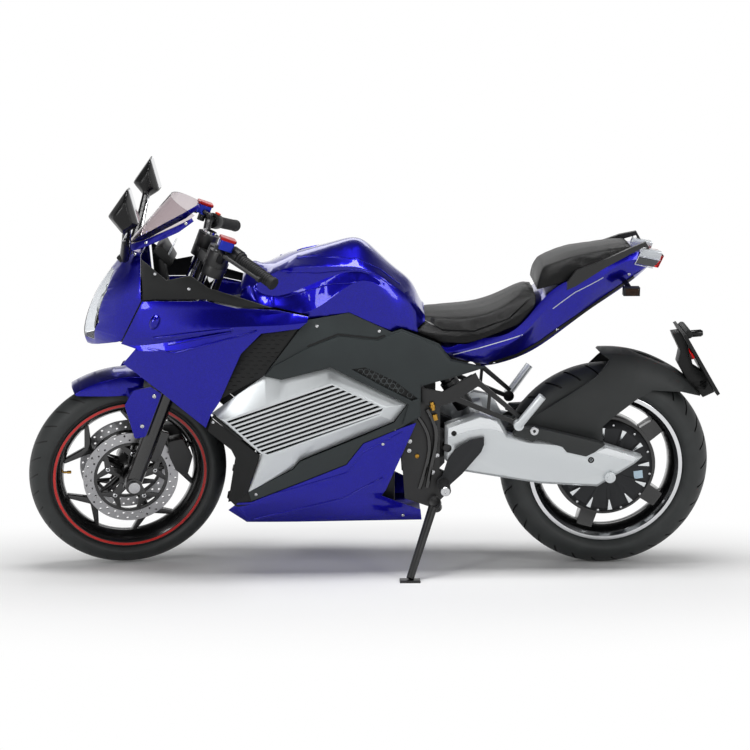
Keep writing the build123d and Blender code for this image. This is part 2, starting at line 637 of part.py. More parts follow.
def frame():
    """Steering head, the two spars and pivot plates, and the cross pieces between them."""
    head = rod(STEER_FRAME.origin + STEER_FRAME.z_dir * (LOWER_YOKE + YOKE_T + YOKE_GAP),
               STEER_FRAME.origin + STEER_FRAME.z_dir * (UPPER_YOKE - YOKE_GAP), HEAD_R)
    y = PLATE_IN + PLATE_T
    (front_x, low), (rear_x, _) = laid(1030, 718), laid(1000, 718)
    nose_x = STEER_FRAME.origin.X - (low + 40 - STEER_FRAME.origin.Z) * SIN / COS
    half = [(nose_x, 26), (front_x, y), (rear_x, y)]
    outline = Polyline(*[(u, v, low) for u, v in half + [(u, -v) for u, v in reversed(half)]], close=True)
    gusset = extrude(make_face(outline.edges()), 78, dir=(0, 0, 1))
    made = head + gusset
    spar = body_slab(SPAR, PLATE_IN, y)
    made += [spar, mirror(spar, Plane.XZ)]
    for x, z, radius in ((570, 580, 14), (565, 250, 16), (545, 400, 18)):
        made += body_cross(x, z, -PLATE_IN - 5, PLATE_IN + 5, radius)
    lug = body_slab([(444, 372), (444, 420), (560, 470), (560, 330)], 70, ARM_IN - 1)
    made += [lug, mirror(lug, Plane.XZ)]
    made += body_cross(*PIVOT, -(ARM_IN + ARM_T - 4), ARM_IN + ARM_T - 4, 12)
    made -= rod(STEER_FRAME.origin, STEER_FRAME.origin + STEER_FRAME.z_dir * 900, STEM_R + FIT)
    for z in (LOWER_YOKE, UPPER_YOKE):
        made -= STEER_FRAME * rod((0, 0, z - YOKE_GAP), (0, 0, z + YOKE_T + YOKE_GAP), YOKE_SWEEP)
    outline = [
        (600, 560), (560, 640), (420, 690), (300, 720), (300, 700), (420, 660), (520, 590), (560, 540),
    ]
    return made, pair(body_slab(outline, 62, 80) - made)


ARM = [
    (478, 462), (378, 498), (324, 484), (296, 434), (234, 418), (14, 400), (-93, 364), (-71, 343), (34, 275),
    (201, 285), (375, 314), (440, 326), (478, 360),
]


def swingarm():
    """Two broad arms with bevelled edges, joined ahead of the tyre, with threaded holes for stand spools."""
    y = ARM_IN + ARM_T
    arm = body_slab(ARM, ARM_IN, y)
    arm = chamfer(arm.faces().sort_by(Axis.Y)[-1].edges(), ARM_BEVEL)
    arm -= body_cross(*SPOOL_AT, y - SPOOL_DEPTH, y + 1, SPOOL_R)
    made = arm + mirror(arm, Plane.XZ)
    bridge = [(400, 476), (360, 480), (345, 420), (350, 330), (425, 330), (425, 400)]
    made += body_slab(bridge, -ARM_IN - 2, ARM_IN + 2)
    made -= body_cross(*PIVOT, -REACH, REACH, 12 + FIT)
    made -= cross(0, REAR_TYRE_R, -REACH, REACH, REAR_AXLE_R + FIT)
    axle = cross(0, REAR_TYRE_R, -(y + 16), y + 16, REAR_AXLE_R)
    for side in (-1, 1):
        axle += cross(0, REAR_TYRE_R, side * (y + FIT), side * (y + 10), 16)
    shock = rod(spot(412, 0, 484), spot(462, 0, 560), 27) + rod(spot(462, 0, 560), spot(520, 0, 640), 20)
    return made, axle, shock


HUGGER = [
    (59, 672), (-51, 655), (-125, 629), (-215, 590), (-277, 520), (-208, 543), (-122, 551), (-74, 524),
    (-7, 471), (20, 446), (18, 404), (14, 402), (234, 420), (296, 436), (219, 474), (42, 590), (1, 636),
]


def hugger():
    """Guard over the rear tyre, with a bracket behind it for a blank number plate and its lamp."""
    r, w = REAR_TYRE_R + 31, REAR_TYRE_W / 2
    section = [
        (r + 14, 0), (r + 6, w - 18), (r - 26, w + 10), (r - 96, w + 28), (90, w + 34),
        (90, w + 34 - PANEL_T), (r - 97, w + 28 - PANEL_T), (r - 27, w + 10 - PANEL_T), (r + 3, w - 21),
        (r + 14 - PANEL_T, 0),
    ]
    shell = revolve(make_face(Polyline(*section, close=True).edges()), Axis.Y)
    shell += mirror(shell, Plane.XZ)
    share = REAR_TYRE_R / DRAWN[2]
    shell = (Pos(0, 0, REAR_TYRE_R) * shell) & slab([(x * share, z * share) for x, z in HUGGER], -REACH, REACH)
    core = spun([(0, 0), *section[:5], (0, w + 34)])
    core += mirror(core, Plane.XZ)
    stay = body_slab([(-240, 560), (-256, 500), (-314, 528), (-300, 566)], -24, 24)
    stay -= Pos(0, 0, REAR_TYRE_R) * core
    holder = body_slab([(-204, 712), (-212, 716), (-318, 540), (-310, 534)], -85, 85)
    holder += body_cross(-225, 709, -60, 60, 11)
    return shell, stay + holder


HEEL = [
    (488, 306), (470, 366), (449, 398), (407, 424), (367, 433), (366, 410), (374, 388), (428, 322), (466, 286),
]
HANGER_T = 8.0
HANGER_FOOT = [(545, 534), (545, 578), (488, 566), (393, 621), (376, 589), (454, 536), (508, 520)]
HANGER_STRUTS = [
    # from, to, width at each end
    ((390, 597), (266, 490), 15, 12),
    ((448, 545), (272, 471), 15, 12),
    ((352, 562), (356, 508), 9, 9),
]
FOLD_AT = (270, 472)              # hinge of the folded passenger peg, x and z


def pegs():
    """Rider pegs with heel plates, and the passenger hangers of open struts with folded pegs."""
    y = PLATE_IN + PLATE_T
    x, z = PEG_AT
    rider = body_cross(x, z, y, y + PEG_L, PEG_R) + body_cross(x, z, y, y + 12, 20)
    heel = body_slab(HEEL, y + 8, y + 12)
    hanger = body_slab(HANGER_FOOT, y, y + HANGER_T) + body_cross(*FOLD_AT, y, y + HANGER_T, 16)
    for start, end, w0, w1 in HANGER_STRUTS:
        hanger += Pos(0, y + HANGER_T / 2, 0) * beam(laid(*start), laid(*end), w0, w1, HANGER_T / 2)
    peg = rod(spot(FOLD_AT[0], y + 26, FOLD_AT[1]), spot(206, y + 36, 560), 12)
    peg += body_cross(*FOLD_AT, y + HANGER_T + FIT, y + 34, 14)
    return pair(rider + heel), pair(hanger), pair(peg - hanger)


MIRROR = [(1392, 1101), (1336, 1178), (1310, 1076), (1352, 1050)]
MIRROR_SPAN = [(232, 0.5), (258, 0.95), (316, 1.0), (346, 0.6)]   # lateral place and scale of the outline


def mirrors():
    """Mirror heads on short stalks at the foot of the screen."""
    mid = Vector(sum(x for x, _ in MIRROR) / len(MIRROR), sum(z for _, z in MIRROR) / len(MIRROR))
    faces = []
    for y, scale in MIRROR_SPAN:
        corners = [(mid.X + (x - mid.X) * scale, mid.Y + (z - mid.Y) * scale) for x, z in MIRROR]
        faces.append(body_face(corners, y))
    head = loft(faces, ruled=True)
    foot, knee = spot(1378, 104, 944), spot(1364, 176, 1004)
    top = spot(mid.X, MIRROR_SPAN[1][0], mid.Y - 12)
    stalk = rod(foot, knee, 15, 12) + Pos(*knee) * Sphere(12) + rod(knee, top, 12, 10)
    return pair(head + stalk)


GRAB = [
    # x, inner and outer y, lower and upper z of the left grab handle, from its foot to the end of the tail
    (140, 121.5, 134.5, 858, 880),
    (116, 119, 132, 868, 912),
    (36, 114, 126, 918, 942),
    (-40, 98, 110, 956, 973),
    (-84, 78, 90, 974, 986),
    (-104, 64, 76, 930, 950),
]
GRAB_TAB = (6.0, 26.0, 16.0)      # tab of the grab handle on the end face of the tail


def rear_end():
    """Grab handles, tail lamp, rear indicators and the rear caliper."""
    faces = []
    for x, y_in, y_out, low, high in GRAB:
        corners = [spot(x, y_in, low), spot(x, y_out, low), spot(x, y_out, high), spot(x, y_in, high)]
        faces.append(make_face(Polyline(*corners, close=True).edges()))
    rail = loft(faces, ruled=True)
    end = GRAB[-1]
    middle = spot(end[0] - GRAB_TAB[0] / 2, end[2] - GRAB_TAB[1] / 2, end[3] + GRAB_TAB[2] / 2)
    rail += Pos(*middle) * Box(*GRAB_TAB)
    lamp = body_slab([(-104.5, 908), (-104.5, 944), (-146, 938), (-130, 902)], -48, 48)
    blinker = rod(spot(-30, 66, 872), spot(-44, 100, 852), 7) + Pos(*spot(-44, 112, 850)) * Box(46, 26, 24)
    y = -(MOTOR_W / 2 + 10 + FIT + DISC_T / 2)
    cal = slab([(48, 66), (104, 14), (132, 44), (84, 90)], -(ARM_IN - FIT), y + 11, 6)
    cal -= cross(0, 0, y - DISC_T / 2 - 1.5, y + DISC_T / 2 + 1.5, REAR_DISC_R + 4)
    return rail, lamp, blinker, Pos(0, 0, REAR_TYRE_R) * cal


def belly():
    """Belly pan: both sides and the floor between them."""
    outer = [(x, edge) for x, edge in MID_FLANK]
    skin = lofted(outer)
    skin += mirror(skin, Plane.XZ)
    core = lofted(narrowed(outer, PANEL_T))
    core += mirror(core, Plane.XZ)
    core = core & Pos(*spot(700, 0, 171 + PANEL_T + 500)) * Box(2 * WHEELBASE, 2 * REACH, 1000)
    return (body_slab(BELLY, -REACH, REACH) & skin) - core


def side_stand(pose):
    """Leg and foot, and the frame's pivot pin; the foot lies flat on the floor when the machine is parked."""
    pivot = Vector(*spot(*STAND_PIVOT))
    back = pose.inverse()
    under = (pose * Pos(laid(STAND_FOOT[0], 0)[0], STAND_FOOT[1], 0)).position
    foot = (back * Pos(under.X, under.Y, 9)).position
    down = (foot - pivot).normalized()
    up = Vector(-0.97, 0.12, 0.2).normalized()
    axis = down.cross(up).normalized()
    leg = rod(pivot - axis * 8, pivot + axis * 8, 20) + rod(pivot + down * 14, foot, STAND_R + 2, STAND_R)
    leg += back * Pos(under.X, under.Y, 3) * Box(58, 40, 6)
    leg -= rod(pivot - axis * 30, pivot + axis * 30, 8 + FIT)
    pin = rod(pivot - axis * 42, pivot - axis * 14, 16) + rod(pivot - axis * 15, pivot + axis * 14, 8)
    pin += rod(pivot + axis * 8.5, pivot + axis * 14, 13)
    swing = math.degrees(math.acos(down.dot(up)))
    return leg, pin, axis, swing


# Nodes, by body

steer_place = STEER_FRAME.location
front_place = Pos(*FRONT_AXLE)
rear_place = Pos(0, 0, REAR_TYRE_R)


def steered(solid):
    """Turned with the steering into the parked position."""
    return solid.rotate(STEER_AXIS, STEER)


# Leaning lets the round tyres drop, the turned front wheel a little more, so the floor is found from them
front_tyre = steered(front_place * tyre(FRONT_TYRE_R, FRONT_TYRE_W, FRONT_RIM_W))
rear_tyre = rear_place * tyre(REAR_TYRE_R, REAR_TYRE_W, REAR_RIM_W)
lean = Rot(-LEAN, 0, 0)
pitch = Rot(0, 0, 0)
for _ in range(3):
    tilt = pitch * lean
    front_low, rear_low = [(tilt * t).bounding_box().min.Z for t in (front_tyre, rear_tyre)]
    pitch = Rot(0, math.degrees(math.atan2(front_low - rear_low, WHEELBASE)), 0) * pitch
rear_low = (pitch * lean * rear_tyre).bounding_box().min.Z
pose = Pos(0, 0, -rear_low) * pitch * lean

front_rim, front_discs = front_wheel()
rear_rim, hub_motor, rear_disc = rear_wheel()
fork_sliders, fork_tubes, front_axle = fork()
bars, grips, pods, levers, cups, caps = handlebars()
mudguard, mudguard_stays = front_mudguard()
stand, stand_pin, stand_axis, stand_swing = side_stand(pose)
main_frame, seat_rails = frame()
main_frame += stand_pin
arms, rear_axle, shock = swingarm()
nose_cowl, lamp_lens, lamp_unit = nose()
screen, screen_trim = windscreen()
dash, front_stay = instrument()
tank, rider_seat, pillion_seat, tail = tank_and_seats()
guard, plate_bracket = hugger()
rider_pegs, hangers, passenger_pegs = pegs()
rail, tail_lamp, blinker, rear_caliper = rear_end()
pad_flank = [(x, [(y + PAD_RISE, z) for y, z in e]) for x, e in MID_FLANK]
side_cover = panel(SIDE_COVER, MID_FLANK) + panel(SIDE_PAD, pad_flank, PANEL_T + PAD_RISE)
side_cover -= clear_of(GRILLE_EDGE, SEAM)
side_cover -= body_slab(VENT, 100, REACH)
vent = panel(VENT, [(x, [(y - 5, z) for y, z in e]) for x, e in MID_FLANK], 3)
tail -= seat_rails.solids()
(rear, front), (low, high), half = BATTERY
battery = body_slab([(rear, low), (front, low), (front, high), (rear, high)], -half, half)

NODES = {
    "chassis": {
        "main_frame": main_frame,
        "seat_rails": seat_rails,
        "battery_pack": battery,
        "front_stay": front_stay - lamp_unit - main_frame,
        "nose_cowl": nose_cowl,
        "headlamp_lens": lamp_lens,
        "headlamp_unit": lamp_unit,
        "windscreen": screen,
        "screen_trim": screen_trim - nose_cowl,
        "instrument": dash,
        "cockpit_panels": pair(panel(COCKPIT, COCKPIT_FLANK)),
        "side_fairings": pair(panel(SIDE_FAIRING, UPPER_FLANK)),
        "infill_panels": pair(panel(INFILL, MID_FLANK)),
        "side_covers": pair(side_cover),
        "vent_meshes": pair(vent),
        "grille_panels": pair(grille()),
        "duct_panels": pair(panel(DUCT, MID_FLANK)),
        "belly_pan": belly(),
        "tank_cover": tank,
        "rider_seat": rider_seat,
        "pillion_seat": pillion_seat,
        "tail_cowl": tail,
        "grab_rails": pair(rail),
        "tail_lamp": tail_lamp,
        "rear_indicators": pair(blinker - tail),
        "swingarm": arms,
        "rear_axle": rear_axle,
        "rear_shock": shock - arms - main_frame,
        "rear_hugger": guard - arms,
        "plate_bracket": plate_bracket,
        "rear_caliper": rear_caliper,
        "rider_pegs": rider_pegs,
        "passenger_hangers": hangers,
        "passenger_pegs": passenger_pegs,
        "mirrors": mirrors() - nose_cowl,
    },
    "steering": {
        "fork_sliders": steer_place * fork_sliders,
        "fork_tubes": steer_place * fork_tubes,
        "yokes": steer_place * yokes(),
        "front_axle": steer_place * front_axle,
        "front_mudguard": mudguard,
        "mudguard_stays": mudguard_stays,
        "front_calipers": calipers(),
        "handlebars": steer_place * bars,
        "grips": steer_place * grips,
        "switch_pods": steer_place * pods,
        "levers": steer_place * levers,
        "reservoirs": steer_place * cups,
        "reservoir_caps": steer_place * caps,
    },
    "front_wheel": {
        "front_tyre": front_tyre,
        "front_rim": front_place * front_rim,
        "front_discs": front_place * front_discs,
    },
    "rear_wheel": {
        "rear_tyre": rear_tyre,
        "rear_rim": rear_place * rear_rim,
        "hub_motor": rear_place * hub_motor,
        "rear_disc": rear_place * rear_disc,
    },
    "side_stand": {"stand_leg": stand},
}

# Park it, then put the origin on the floor under the middle of everything
parked = {}
for body, nodes in NODES.items():
    for name, solid in nodes.items():
        turned = solid
        if body == "steering" or (body == "front_wheel" and name != "front_tyre"):
            turned = steered(solid)
        parked[name] = pose * Compound(list(turned.solids()))
box = Compound([s for c in parked.values() for s in c.solids()]).bounding_box()
shift = Pos(-box.center().X, -box.center().Y, -box.min.Z)
place = shift * pose

os.makedirs("parts", exist_ok=True)
for name, solid in parked.items():
    export_step(shift * solid, f"parts/{name}.step")
    print(f"{name:20s} {len(solid.solids())} solids  {solid.volume / 1e6:8.3f} dm3")
print("overall size", box.size, "floor", box.min.Z)
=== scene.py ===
# %% [markdown]
# # An electric sports motorcycle, leaning on its side stand
#
# The imported model gives every piece its size and its place. This lesson dresses it: paint and plastics,
# softened edges, padded seats, cut tyre tread, drilled brake discs, tubes, lamps and the many small bolts.
# The frame comes first, because everything else is laid out on it.

# %% Load the imported model
import json
import math
import bpy
from mathutils import Matrix, Vector

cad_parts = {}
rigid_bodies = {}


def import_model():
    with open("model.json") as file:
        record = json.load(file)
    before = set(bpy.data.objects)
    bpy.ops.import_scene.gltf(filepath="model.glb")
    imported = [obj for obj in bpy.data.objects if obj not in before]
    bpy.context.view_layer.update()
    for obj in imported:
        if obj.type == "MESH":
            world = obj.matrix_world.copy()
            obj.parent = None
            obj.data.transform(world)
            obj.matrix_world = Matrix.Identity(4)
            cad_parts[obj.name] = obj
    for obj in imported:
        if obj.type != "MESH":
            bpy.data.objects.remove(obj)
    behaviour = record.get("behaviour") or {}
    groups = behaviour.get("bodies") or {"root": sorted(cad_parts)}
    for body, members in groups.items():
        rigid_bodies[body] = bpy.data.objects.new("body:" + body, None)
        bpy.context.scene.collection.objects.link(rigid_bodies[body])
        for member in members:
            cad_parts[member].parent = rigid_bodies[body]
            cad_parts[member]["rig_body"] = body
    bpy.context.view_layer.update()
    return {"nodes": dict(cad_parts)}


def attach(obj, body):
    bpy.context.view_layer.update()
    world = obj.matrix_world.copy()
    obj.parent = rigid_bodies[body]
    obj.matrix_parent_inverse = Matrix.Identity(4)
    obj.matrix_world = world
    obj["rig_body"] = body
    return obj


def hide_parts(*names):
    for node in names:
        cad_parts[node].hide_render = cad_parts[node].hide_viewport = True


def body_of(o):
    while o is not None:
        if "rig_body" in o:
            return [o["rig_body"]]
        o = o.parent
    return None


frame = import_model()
nodes = frame["nodes"]
body_of_node = {name: body_of(node)[0] for name, node in nodes.items()}

# %% [markdown]
# ## The machine's own upright frame
#
# A motorcycle is easiest to describe standing upright: X forward from the rear axle, Y to the rider's left
# and Z up from the floor, in millimetres. Parked, the whole machine leans 9.3 degrees to its left and its
# nose drops a little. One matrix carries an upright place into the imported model, so that bolts and tubes
# can be given in plain workshop numbers. A second one does the same for the steering, which is turned 14
# degrees to the left.

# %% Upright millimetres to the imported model
MM = 0.001
LEAN = math.radians(-9.3)
PITCH = math.radians(0.1137)
STEER = math.radians(14.0)
WHEELBASE = 1400.0
FRONT_AXLE_H = 293.0
REAR_AXLE_H = 307.0
STEER_AT = Vector((1373.95, 0.0, 282.738))
STEER_AXIS = Vector((-0.366501, 0.0, 0.930418))
PARKED = (Matrix.Translation((-684.86, -173.715, 0.872)) @ Matrix.Rotation(PITCH, 4, "Y")
          @ Matrix.Rotation(LEAN, 4, "X"))
UPRIGHT = Matrix.Scale(MM, 4) @ PARKED
TURNED = (UPRIGHT @ Matrix.Translation(STEER_AT) @ Matrix.Rotation(STEER, 4, STEER_AXIS)
          @ Matrix.Translation(-STEER_AT))
print("rear axle at", [round(c, 3) for c in UPRIGHT @ Vector((0, 0, REAR_AXLE_H))])

# %% [markdown]
# ## Small tools
#
# Blender's operators act on whatever is selected, so each piece starts from an empty selection. A piece is
# shaped in upright millimetres around the world's origin and then its place goes into the mesh itself. The
# object stays at the origin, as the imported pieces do, so that a pattern on Object coordinates stays where
# it is.

# %% Select, shape and place
def clear_selection():
    """Leaves nothing selected, ready for a new primitive."""
    if bpy.context.object and bpy.context.object.mode != "OBJECT":
        bpy.ops.object.mode_set(mode="OBJECT")
    bpy.ops.object.select_all(action="DESELECT")


def alone(piece):
    """Makes one object the only selected and the active one."""
    clear_selection()
    piece.select_set(True)
    bpy.context.view_layer.objects.active = piece
    return piece


def settle(piece, matrix=None):
    """Puts an object's place, and a further matrix, into its mesh."""
    alone(piece)
    bpy.ops.object.transform_apply(location=True, rotation=True, scale=True)
    if matrix is not None:
        piece.data.transform(matrix)
        piece.data.update()
    return piece


def apply(piece, kind, **settings):
    """Adds one modifier and applies it."""
    alone(piece)
    modifier = piece.modifiers.new(kind.lower(), kind)
    for name, value in settings.items():
        setattr(modifier, name, value)
    bpy.ops.object.modifier_apply(modifier=modifier.name)
    return piece


def smooth(piece, angle=35):
    """Smooth shading up to an angle, in degrees."""
    alone(piece)
    bpy.ops.object.shade_smooth_by_angle(angle=math.radians(angle))
    return piece


def finish_piece(piece, name, finish, body, matrix=None):
    """Names a piece, gives it its finish and lets it ride on a body."""
    settle(piece, matrix)
    piece.name = name
    piece.data.name = name
    piece.data.materials.clear()
    piece.data.materials.append(finish)
    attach(piece, body)
    return piece


print("tools for selecting and placing are ready")

# %% [markdown]
# ## Finishes
#
# Each finish starts from what the real surface is. Colours are written as sRGB hex values, as in a paint
# programme, and one function turns them to the linear values that the shader needs. One more small function
# adds a node with its settings and links. Patterns are sized in millimetres: a texture's scale is one over
# its real size.

# %% Colour and node helpers
def linear(code):
    """An sRGB hex colour as linear RGBA."""
    parts = [int(code[i:i + 2], 16) / 255 for i in (1, 3, 5)]
    return (*[c / 12.92 if c <= 0.04045 else ((c + 0.055) / 1.055) ** 2.4 for c in parts], 1.0)


def per_mm(size):
    """Texture scale for a pattern of this size, in millimetres."""
    return 1000.0 / size


def add(tree, kind, links=(), **settings):
    """Adds one node. A setting that names an input sets it, and links join other sockets to its inputs."""
    made = tree.nodes.new(kind)
    for name, value in settings.items():
        if hasattr(made, name):
            setattr(made, name, value)
        else:
            made.inputs[name.replace("_", " ")].default_value = value
    for socket, target in links:
        tree.links.new(socket, made.inputs[target])
    return made


def new_finish(name, colour, **settings):
    """A material with its own colour on the shader, and the Object coordinates its patterns read."""
    finish = bpy.data.materials.new(name)
    finish.use_nodes = True
    tree = finish.node_tree
    shader = tree.nodes["Principled BSDF"]
    shader.inputs["Base Color"].default_value = linear(colour)
    for key, value in settings.items():
        shader.inputs[key.replace("_", " ")].default_value = value
    place = add(tree, "ShaderNodeTexCoord").outputs["Object"]
    return finish, tree, shader, place


print("mid grey #808080 is", round(linear("#808080")[0], 3), "in linear light")

# %% [markdown]
# ### Blue candy lacquer
#
# The bodywork is moulded ABS under a metallic base coat, a transparent blue colour coat and clear lacquer.
# The base coat gives the deep blue its bright and dark sides, the clear coat gives the sharp reflections.
# The flakes are far too fine to show at this distance, so they are drawn as a soft mottling about 2 mm
# across.

# %% Blue lacquer
blue, tree, shader, place = new_finish(
    "blue_candy_lacquer", "#100C92", Metallic=0.85, Roughness=0.30, Specular_IOR_Level=0.1,
    Coat_Weight=1.0, Coat_Roughness=0.03, Coat_IOR=1.36)
flakes = add(tree, "ShaderNodeTexVoronoi", [(place, "Vector")], Scale=per_mm(2.0))
tone = add(tree, "ShaderNodeMix", [(flakes.outputs["Color"], 0)], data_type="RGBA",
           A=linear("#0E0A80"), B=linear("#140FA6"))
tree.links.new(tone.outputs["Result"], shader.inputs["Base Color"])
ripple = add(tree, "ShaderNodeTexNoise", [(place, "Vector")], Scale=per_mm(9.0), Detail=2.0)
peel = add(tree, "ShaderNodeBump", [(ripple.outputs["Fac"], "Height")], Strength=0.02, Distance=0.0004)
tree.links.new(peel.outputs["Normal"], shader.inputs["Coat Normal"])
print("made", blue.name)

# %% [markdown]
# ### Moulded plastics
#
# Side covers, ducts and the cockpit are moulded ABS with a fine spark-eroded texture, which makes them
# dull. The grain of about half a millimetre is drawn at 1.2 mm so that it shows. Broad clouds vary the
# gloss, as handling does.

# %% Moulded plastics
def moulded(name, colour, paler, roughness, grain=1.2, depth=0.00025):
    """ABS with a fine mould texture and a slightly uneven gloss."""
    finish, tree, shader, place = new_finish(name, colour, Roughness=roughness, Specular_IOR_Level=0.3)
    cloud = add(tree, "ShaderNodeTexNoise", [(place, "Vector")], Scale=per_mm(70.0), Detail=3.0)
    tone = add(tree, "ShaderNodeMix", [(cloud.outputs["Fac"], 0)], data_type="RGBA",
               A=linear(colour), B=linear(paler))
    tree.links.new(tone.outputs["Result"], shader.inputs["Base Color"])
    gloss = add(tree, "ShaderNodeMapRange", [(cloud.outputs["Fac"], "Value")],
                To_Min=roughness - 0.07, To_Max=roughness + 0.07)
    tree.links.new(gloss.outputs["Result"], shader.inputs["Roughness"])
    pits = add(tree, "ShaderNodeTexNoise", [(place, "Vector")], Scale=per_mm(grain), Detail=1.0)
    bump = add(tree, "ShaderNodeBump", [(pits.outputs["Fac"], "Height")], Strength=0.35, Distance=depth)
    tree.links.new(bump.outputs["Normal"], shader.inputs["Normal"])
    return finish


grey_abs = moulded("grey_moulded_abs", "#2A2F30", "#343A3B", 0.50)
black_abs = moulded("black_moulded_abs", "#0D0E0E", "#141515", 0.46)
gloss_abs = moulded("gloss_black_abs", "#0B0B0C", "#121213", 0.22, depth=0.00006)
hugger_abs = moulded("dark_grey_moulded_abs", "#2E3030", "#383A3A", 0.50)
print("made the moulded plastics")

# %% [markdown]
# ### Metals
#
# Powder coat on steel and cast aluminium is an even black skin with a faint orange peel. Silver paint on
# the swingarm and the grille is satin, with a fine grain. Chrome, turned steel and anodised aluminium are
# bare metal: they take their colour from the metal and show little marks from the lathe.

# %% Metals
def coated(name, colour, roughness, metallic, peel_size, depth, coat=0.0):
    """Painted or powder-coated metal with a faint orange peel."""
    finish, tree, shader, place = new_finish(
        name, colour, Roughness=roughness, Metallic=metallic, Coat_Weight=coat, Coat_Roughness=0.08)
    peel = add(tree, "ShaderNodeTexNoise", [(place, "Vector")], Scale=per_mm(peel_size), Detail=2.0)
    gloss = add(tree, "ShaderNodeMapRange", [(peel.outputs["Fac"], "Value")],
                To_Min=max(roughness - 0.05, 0.02), To_Max=roughness + 0.05)
    tree.links.new(gloss.outputs["Result"], shader.inputs["Roughness"])
    bump = add(tree, "ShaderNodeBump", [(peel.outputs["Fac"], "Height")], Strength=0.3, Distance=depth)
    tree.links.new(bump.outputs["Normal"], shader.inputs["Normal"])
    return finish


black_coat = coated("black_powder_coat", "#131314", 0.40, 0.0, 2.5, 0.0003)
wheel_coat = coated("gloss_black_powder_coat", "#0C0C0D", 0.22, 0.0, 4.0, 0.0001, 0.6)
silver_paint = coated("satin_silver_paint", "#D3D7D9", 0.36, 0.60, 1.5, 0.00012)
dark_cast = coated("dark_cast_aluminium", "#2A2B2D", 0.45, 0.6, 1.2, 0.0003)
steel = coated("turned_steel", "#B8B8BA", 0.26, 1.0, 1.0, 0.0001)
disc_steel = coated("ground_disc_steel", "#A9A9AB", 0.30, 1.0, 0.9, 0.0001)
chrome = coated("hard_chrome", "#D8D9DB", 0.08, 1.0, 12.0, 0.00002)
zinc = coated("zinc_plated_steel", "#C9CACC", 0.24, 1.0, 2.0, 0.0001)
brass = coated("brass", "#B58A3C", 0.28, 1.0, 2.0, 0.0001)
red_anodised = coated("red_anodised_aluminium", "#A31212", 0.30, 0.7, 2.0, 0.0001)
blue_anodised = coated("blue_anodised_aluminium", "#1E2FA8", 0.30, 0.7, 2.0, 0.0001)
red_stripe = coated("red_wheel_enamel", "#CC221E", 0.34, 0.0, 4.0, 0.0001)
print("made the metals")

# %% [markdown]
# ### Rubber and vinyl
#
# Tyre rubber is nearly black, dull, and slightly dusty in the hollows; the floors of its tread grooves are
# painted near black, a painted shade. The seat cover is vinyl pressed with a leather grain: rounded cells
# about 3 mm across, drawn as the distance to the cell edges.

# %% Rubber and vinyl
def rubber(name, colour, paler, roughness):
    """Moulded rubber with a dusty bloom."""
    finish, tree, shader, place = new_finish(name, colour, Roughness=roughness, Specular_IOR_Level=0.4)
    bloom = add(tree, "ShaderNodeTexNoise", [(place, "Vector")], Scale=per_mm(45.0), Detail=4.0)
    tone = add(tree, "ShaderNodeMix", [(bloom.outputs["Fac"], 0)], data_type="RGBA",
               A=linear(colour), B=linear(paler))
    tree.links.new(tone.outputs["Result"], shader.inputs["Base Color"])
    grain = add(tree, "ShaderNodeTexNoise", [(place, "Vector")], Scale=per_mm(1.5), Detail=1.0)
    bump = add(tree, "ShaderNodeBump", [(grain.outputs["Fac"], "Height")], Strength=0.3, Distance=0.0003)
    tree.links.new(bump.outputs["Normal"], shader.inputs["Normal"])
    return finish


tyre_rubber = rubber("tyre_rubber", "#252727", "#353838", 0.50)
# painted shade: the floors of the tread grooves are painted near black for the shade in those recesses; a
# flag on the faces says where
tree = tyre_rubber.node_tree
shader = tree.nodes["Principled BSDF"]
plain = shader.inputs["Base Color"].links[0].from_socket
groove_shade_mark = add(tree, "ShaderNodeAttribute", attribute_name="groove")
tone = add(tree, "ShaderNodeMix", [(groove_shade_mark.outputs["Fac"], 0), (plain, "A")], data_type="RGBA",
           B=linear("#050505"))
tree.links.new(tone.outputs["Result"], shader.inputs["Base Color"])
grip_rubber = rubber("grip_rubber", "#111112", "#1B1B1C", 0.66)
vinyl, tree, shader, place = new_finish(
    "pressed_grain_vinyl", "#090909", Roughness=0.36, Specular_IOR_Level=0.2)
cells = add(tree, "ShaderNodeTexVoronoi", [(place, "Vector")], feature="DISTANCE_TO_EDGE", Scale=per_mm(3.2))
grain = add(tree, "ShaderNodeMapRange", [(cells.outputs["Distance"], "Value")], From_Max=0.18)
bump = add(tree, "ShaderNodeBump", [(grain.outputs["Result"], "Height")], Strength=0.45, Distance=0.0006)
tree.links.new(bump.outputs["Normal"], shader.inputs["Normal"])
sheen = add(tree, "ShaderNodeTexNoise", [(place, "Vector")], Scale=per_mm(120.0), Detail=2.0)
wear = add(tree, "ShaderNodeMapRange", [(sheen.outputs["Fac"], "Value")], To_Min=0.28, To_Max=0.42)
tree.links.new(wear.outputs["Result"], shader.inputs["Roughness"])
print("made rubber and vinyl")

# %% [markdown]
# ### Clear plastics
#
# The screen is smoked acrylic, the lamp lens clear polycarbonate. Both let light through and bend it, so
# they are shaders with full transmission. The tint is the shader's colour. Acrylic has an IOR of about 1.49
# and polycarbonate of 1.58. Both are written lower here, so that the panels mirror less of the white studio
# and stay clear. Lamp lenses at the back are red and amber.

# %% Clear plastics
def clear_plastic(name, colour, paler, roughness, ior):
    """Acrylic or polycarbonate: tinted, clear and glossy, with a faint unevenness in the tint."""
    finish, tree, shader, place = new_finish(
        name, colour, Roughness=roughness, Transmission_Weight=1.0, IOR=ior)
    haze = add(tree, "ShaderNodeTexNoise", [(place, "Vector")], Scale=per_mm(60.0), Detail=1.0)
    tone = add(tree, "ShaderNodeMix", [(haze.outputs["Fac"], 0)], data_type="RGBA",
               A=linear(colour), B=linear(paler))
    tree.links.new(tone.outputs["Result"], shader.inputs["Base Color"])
    return finish


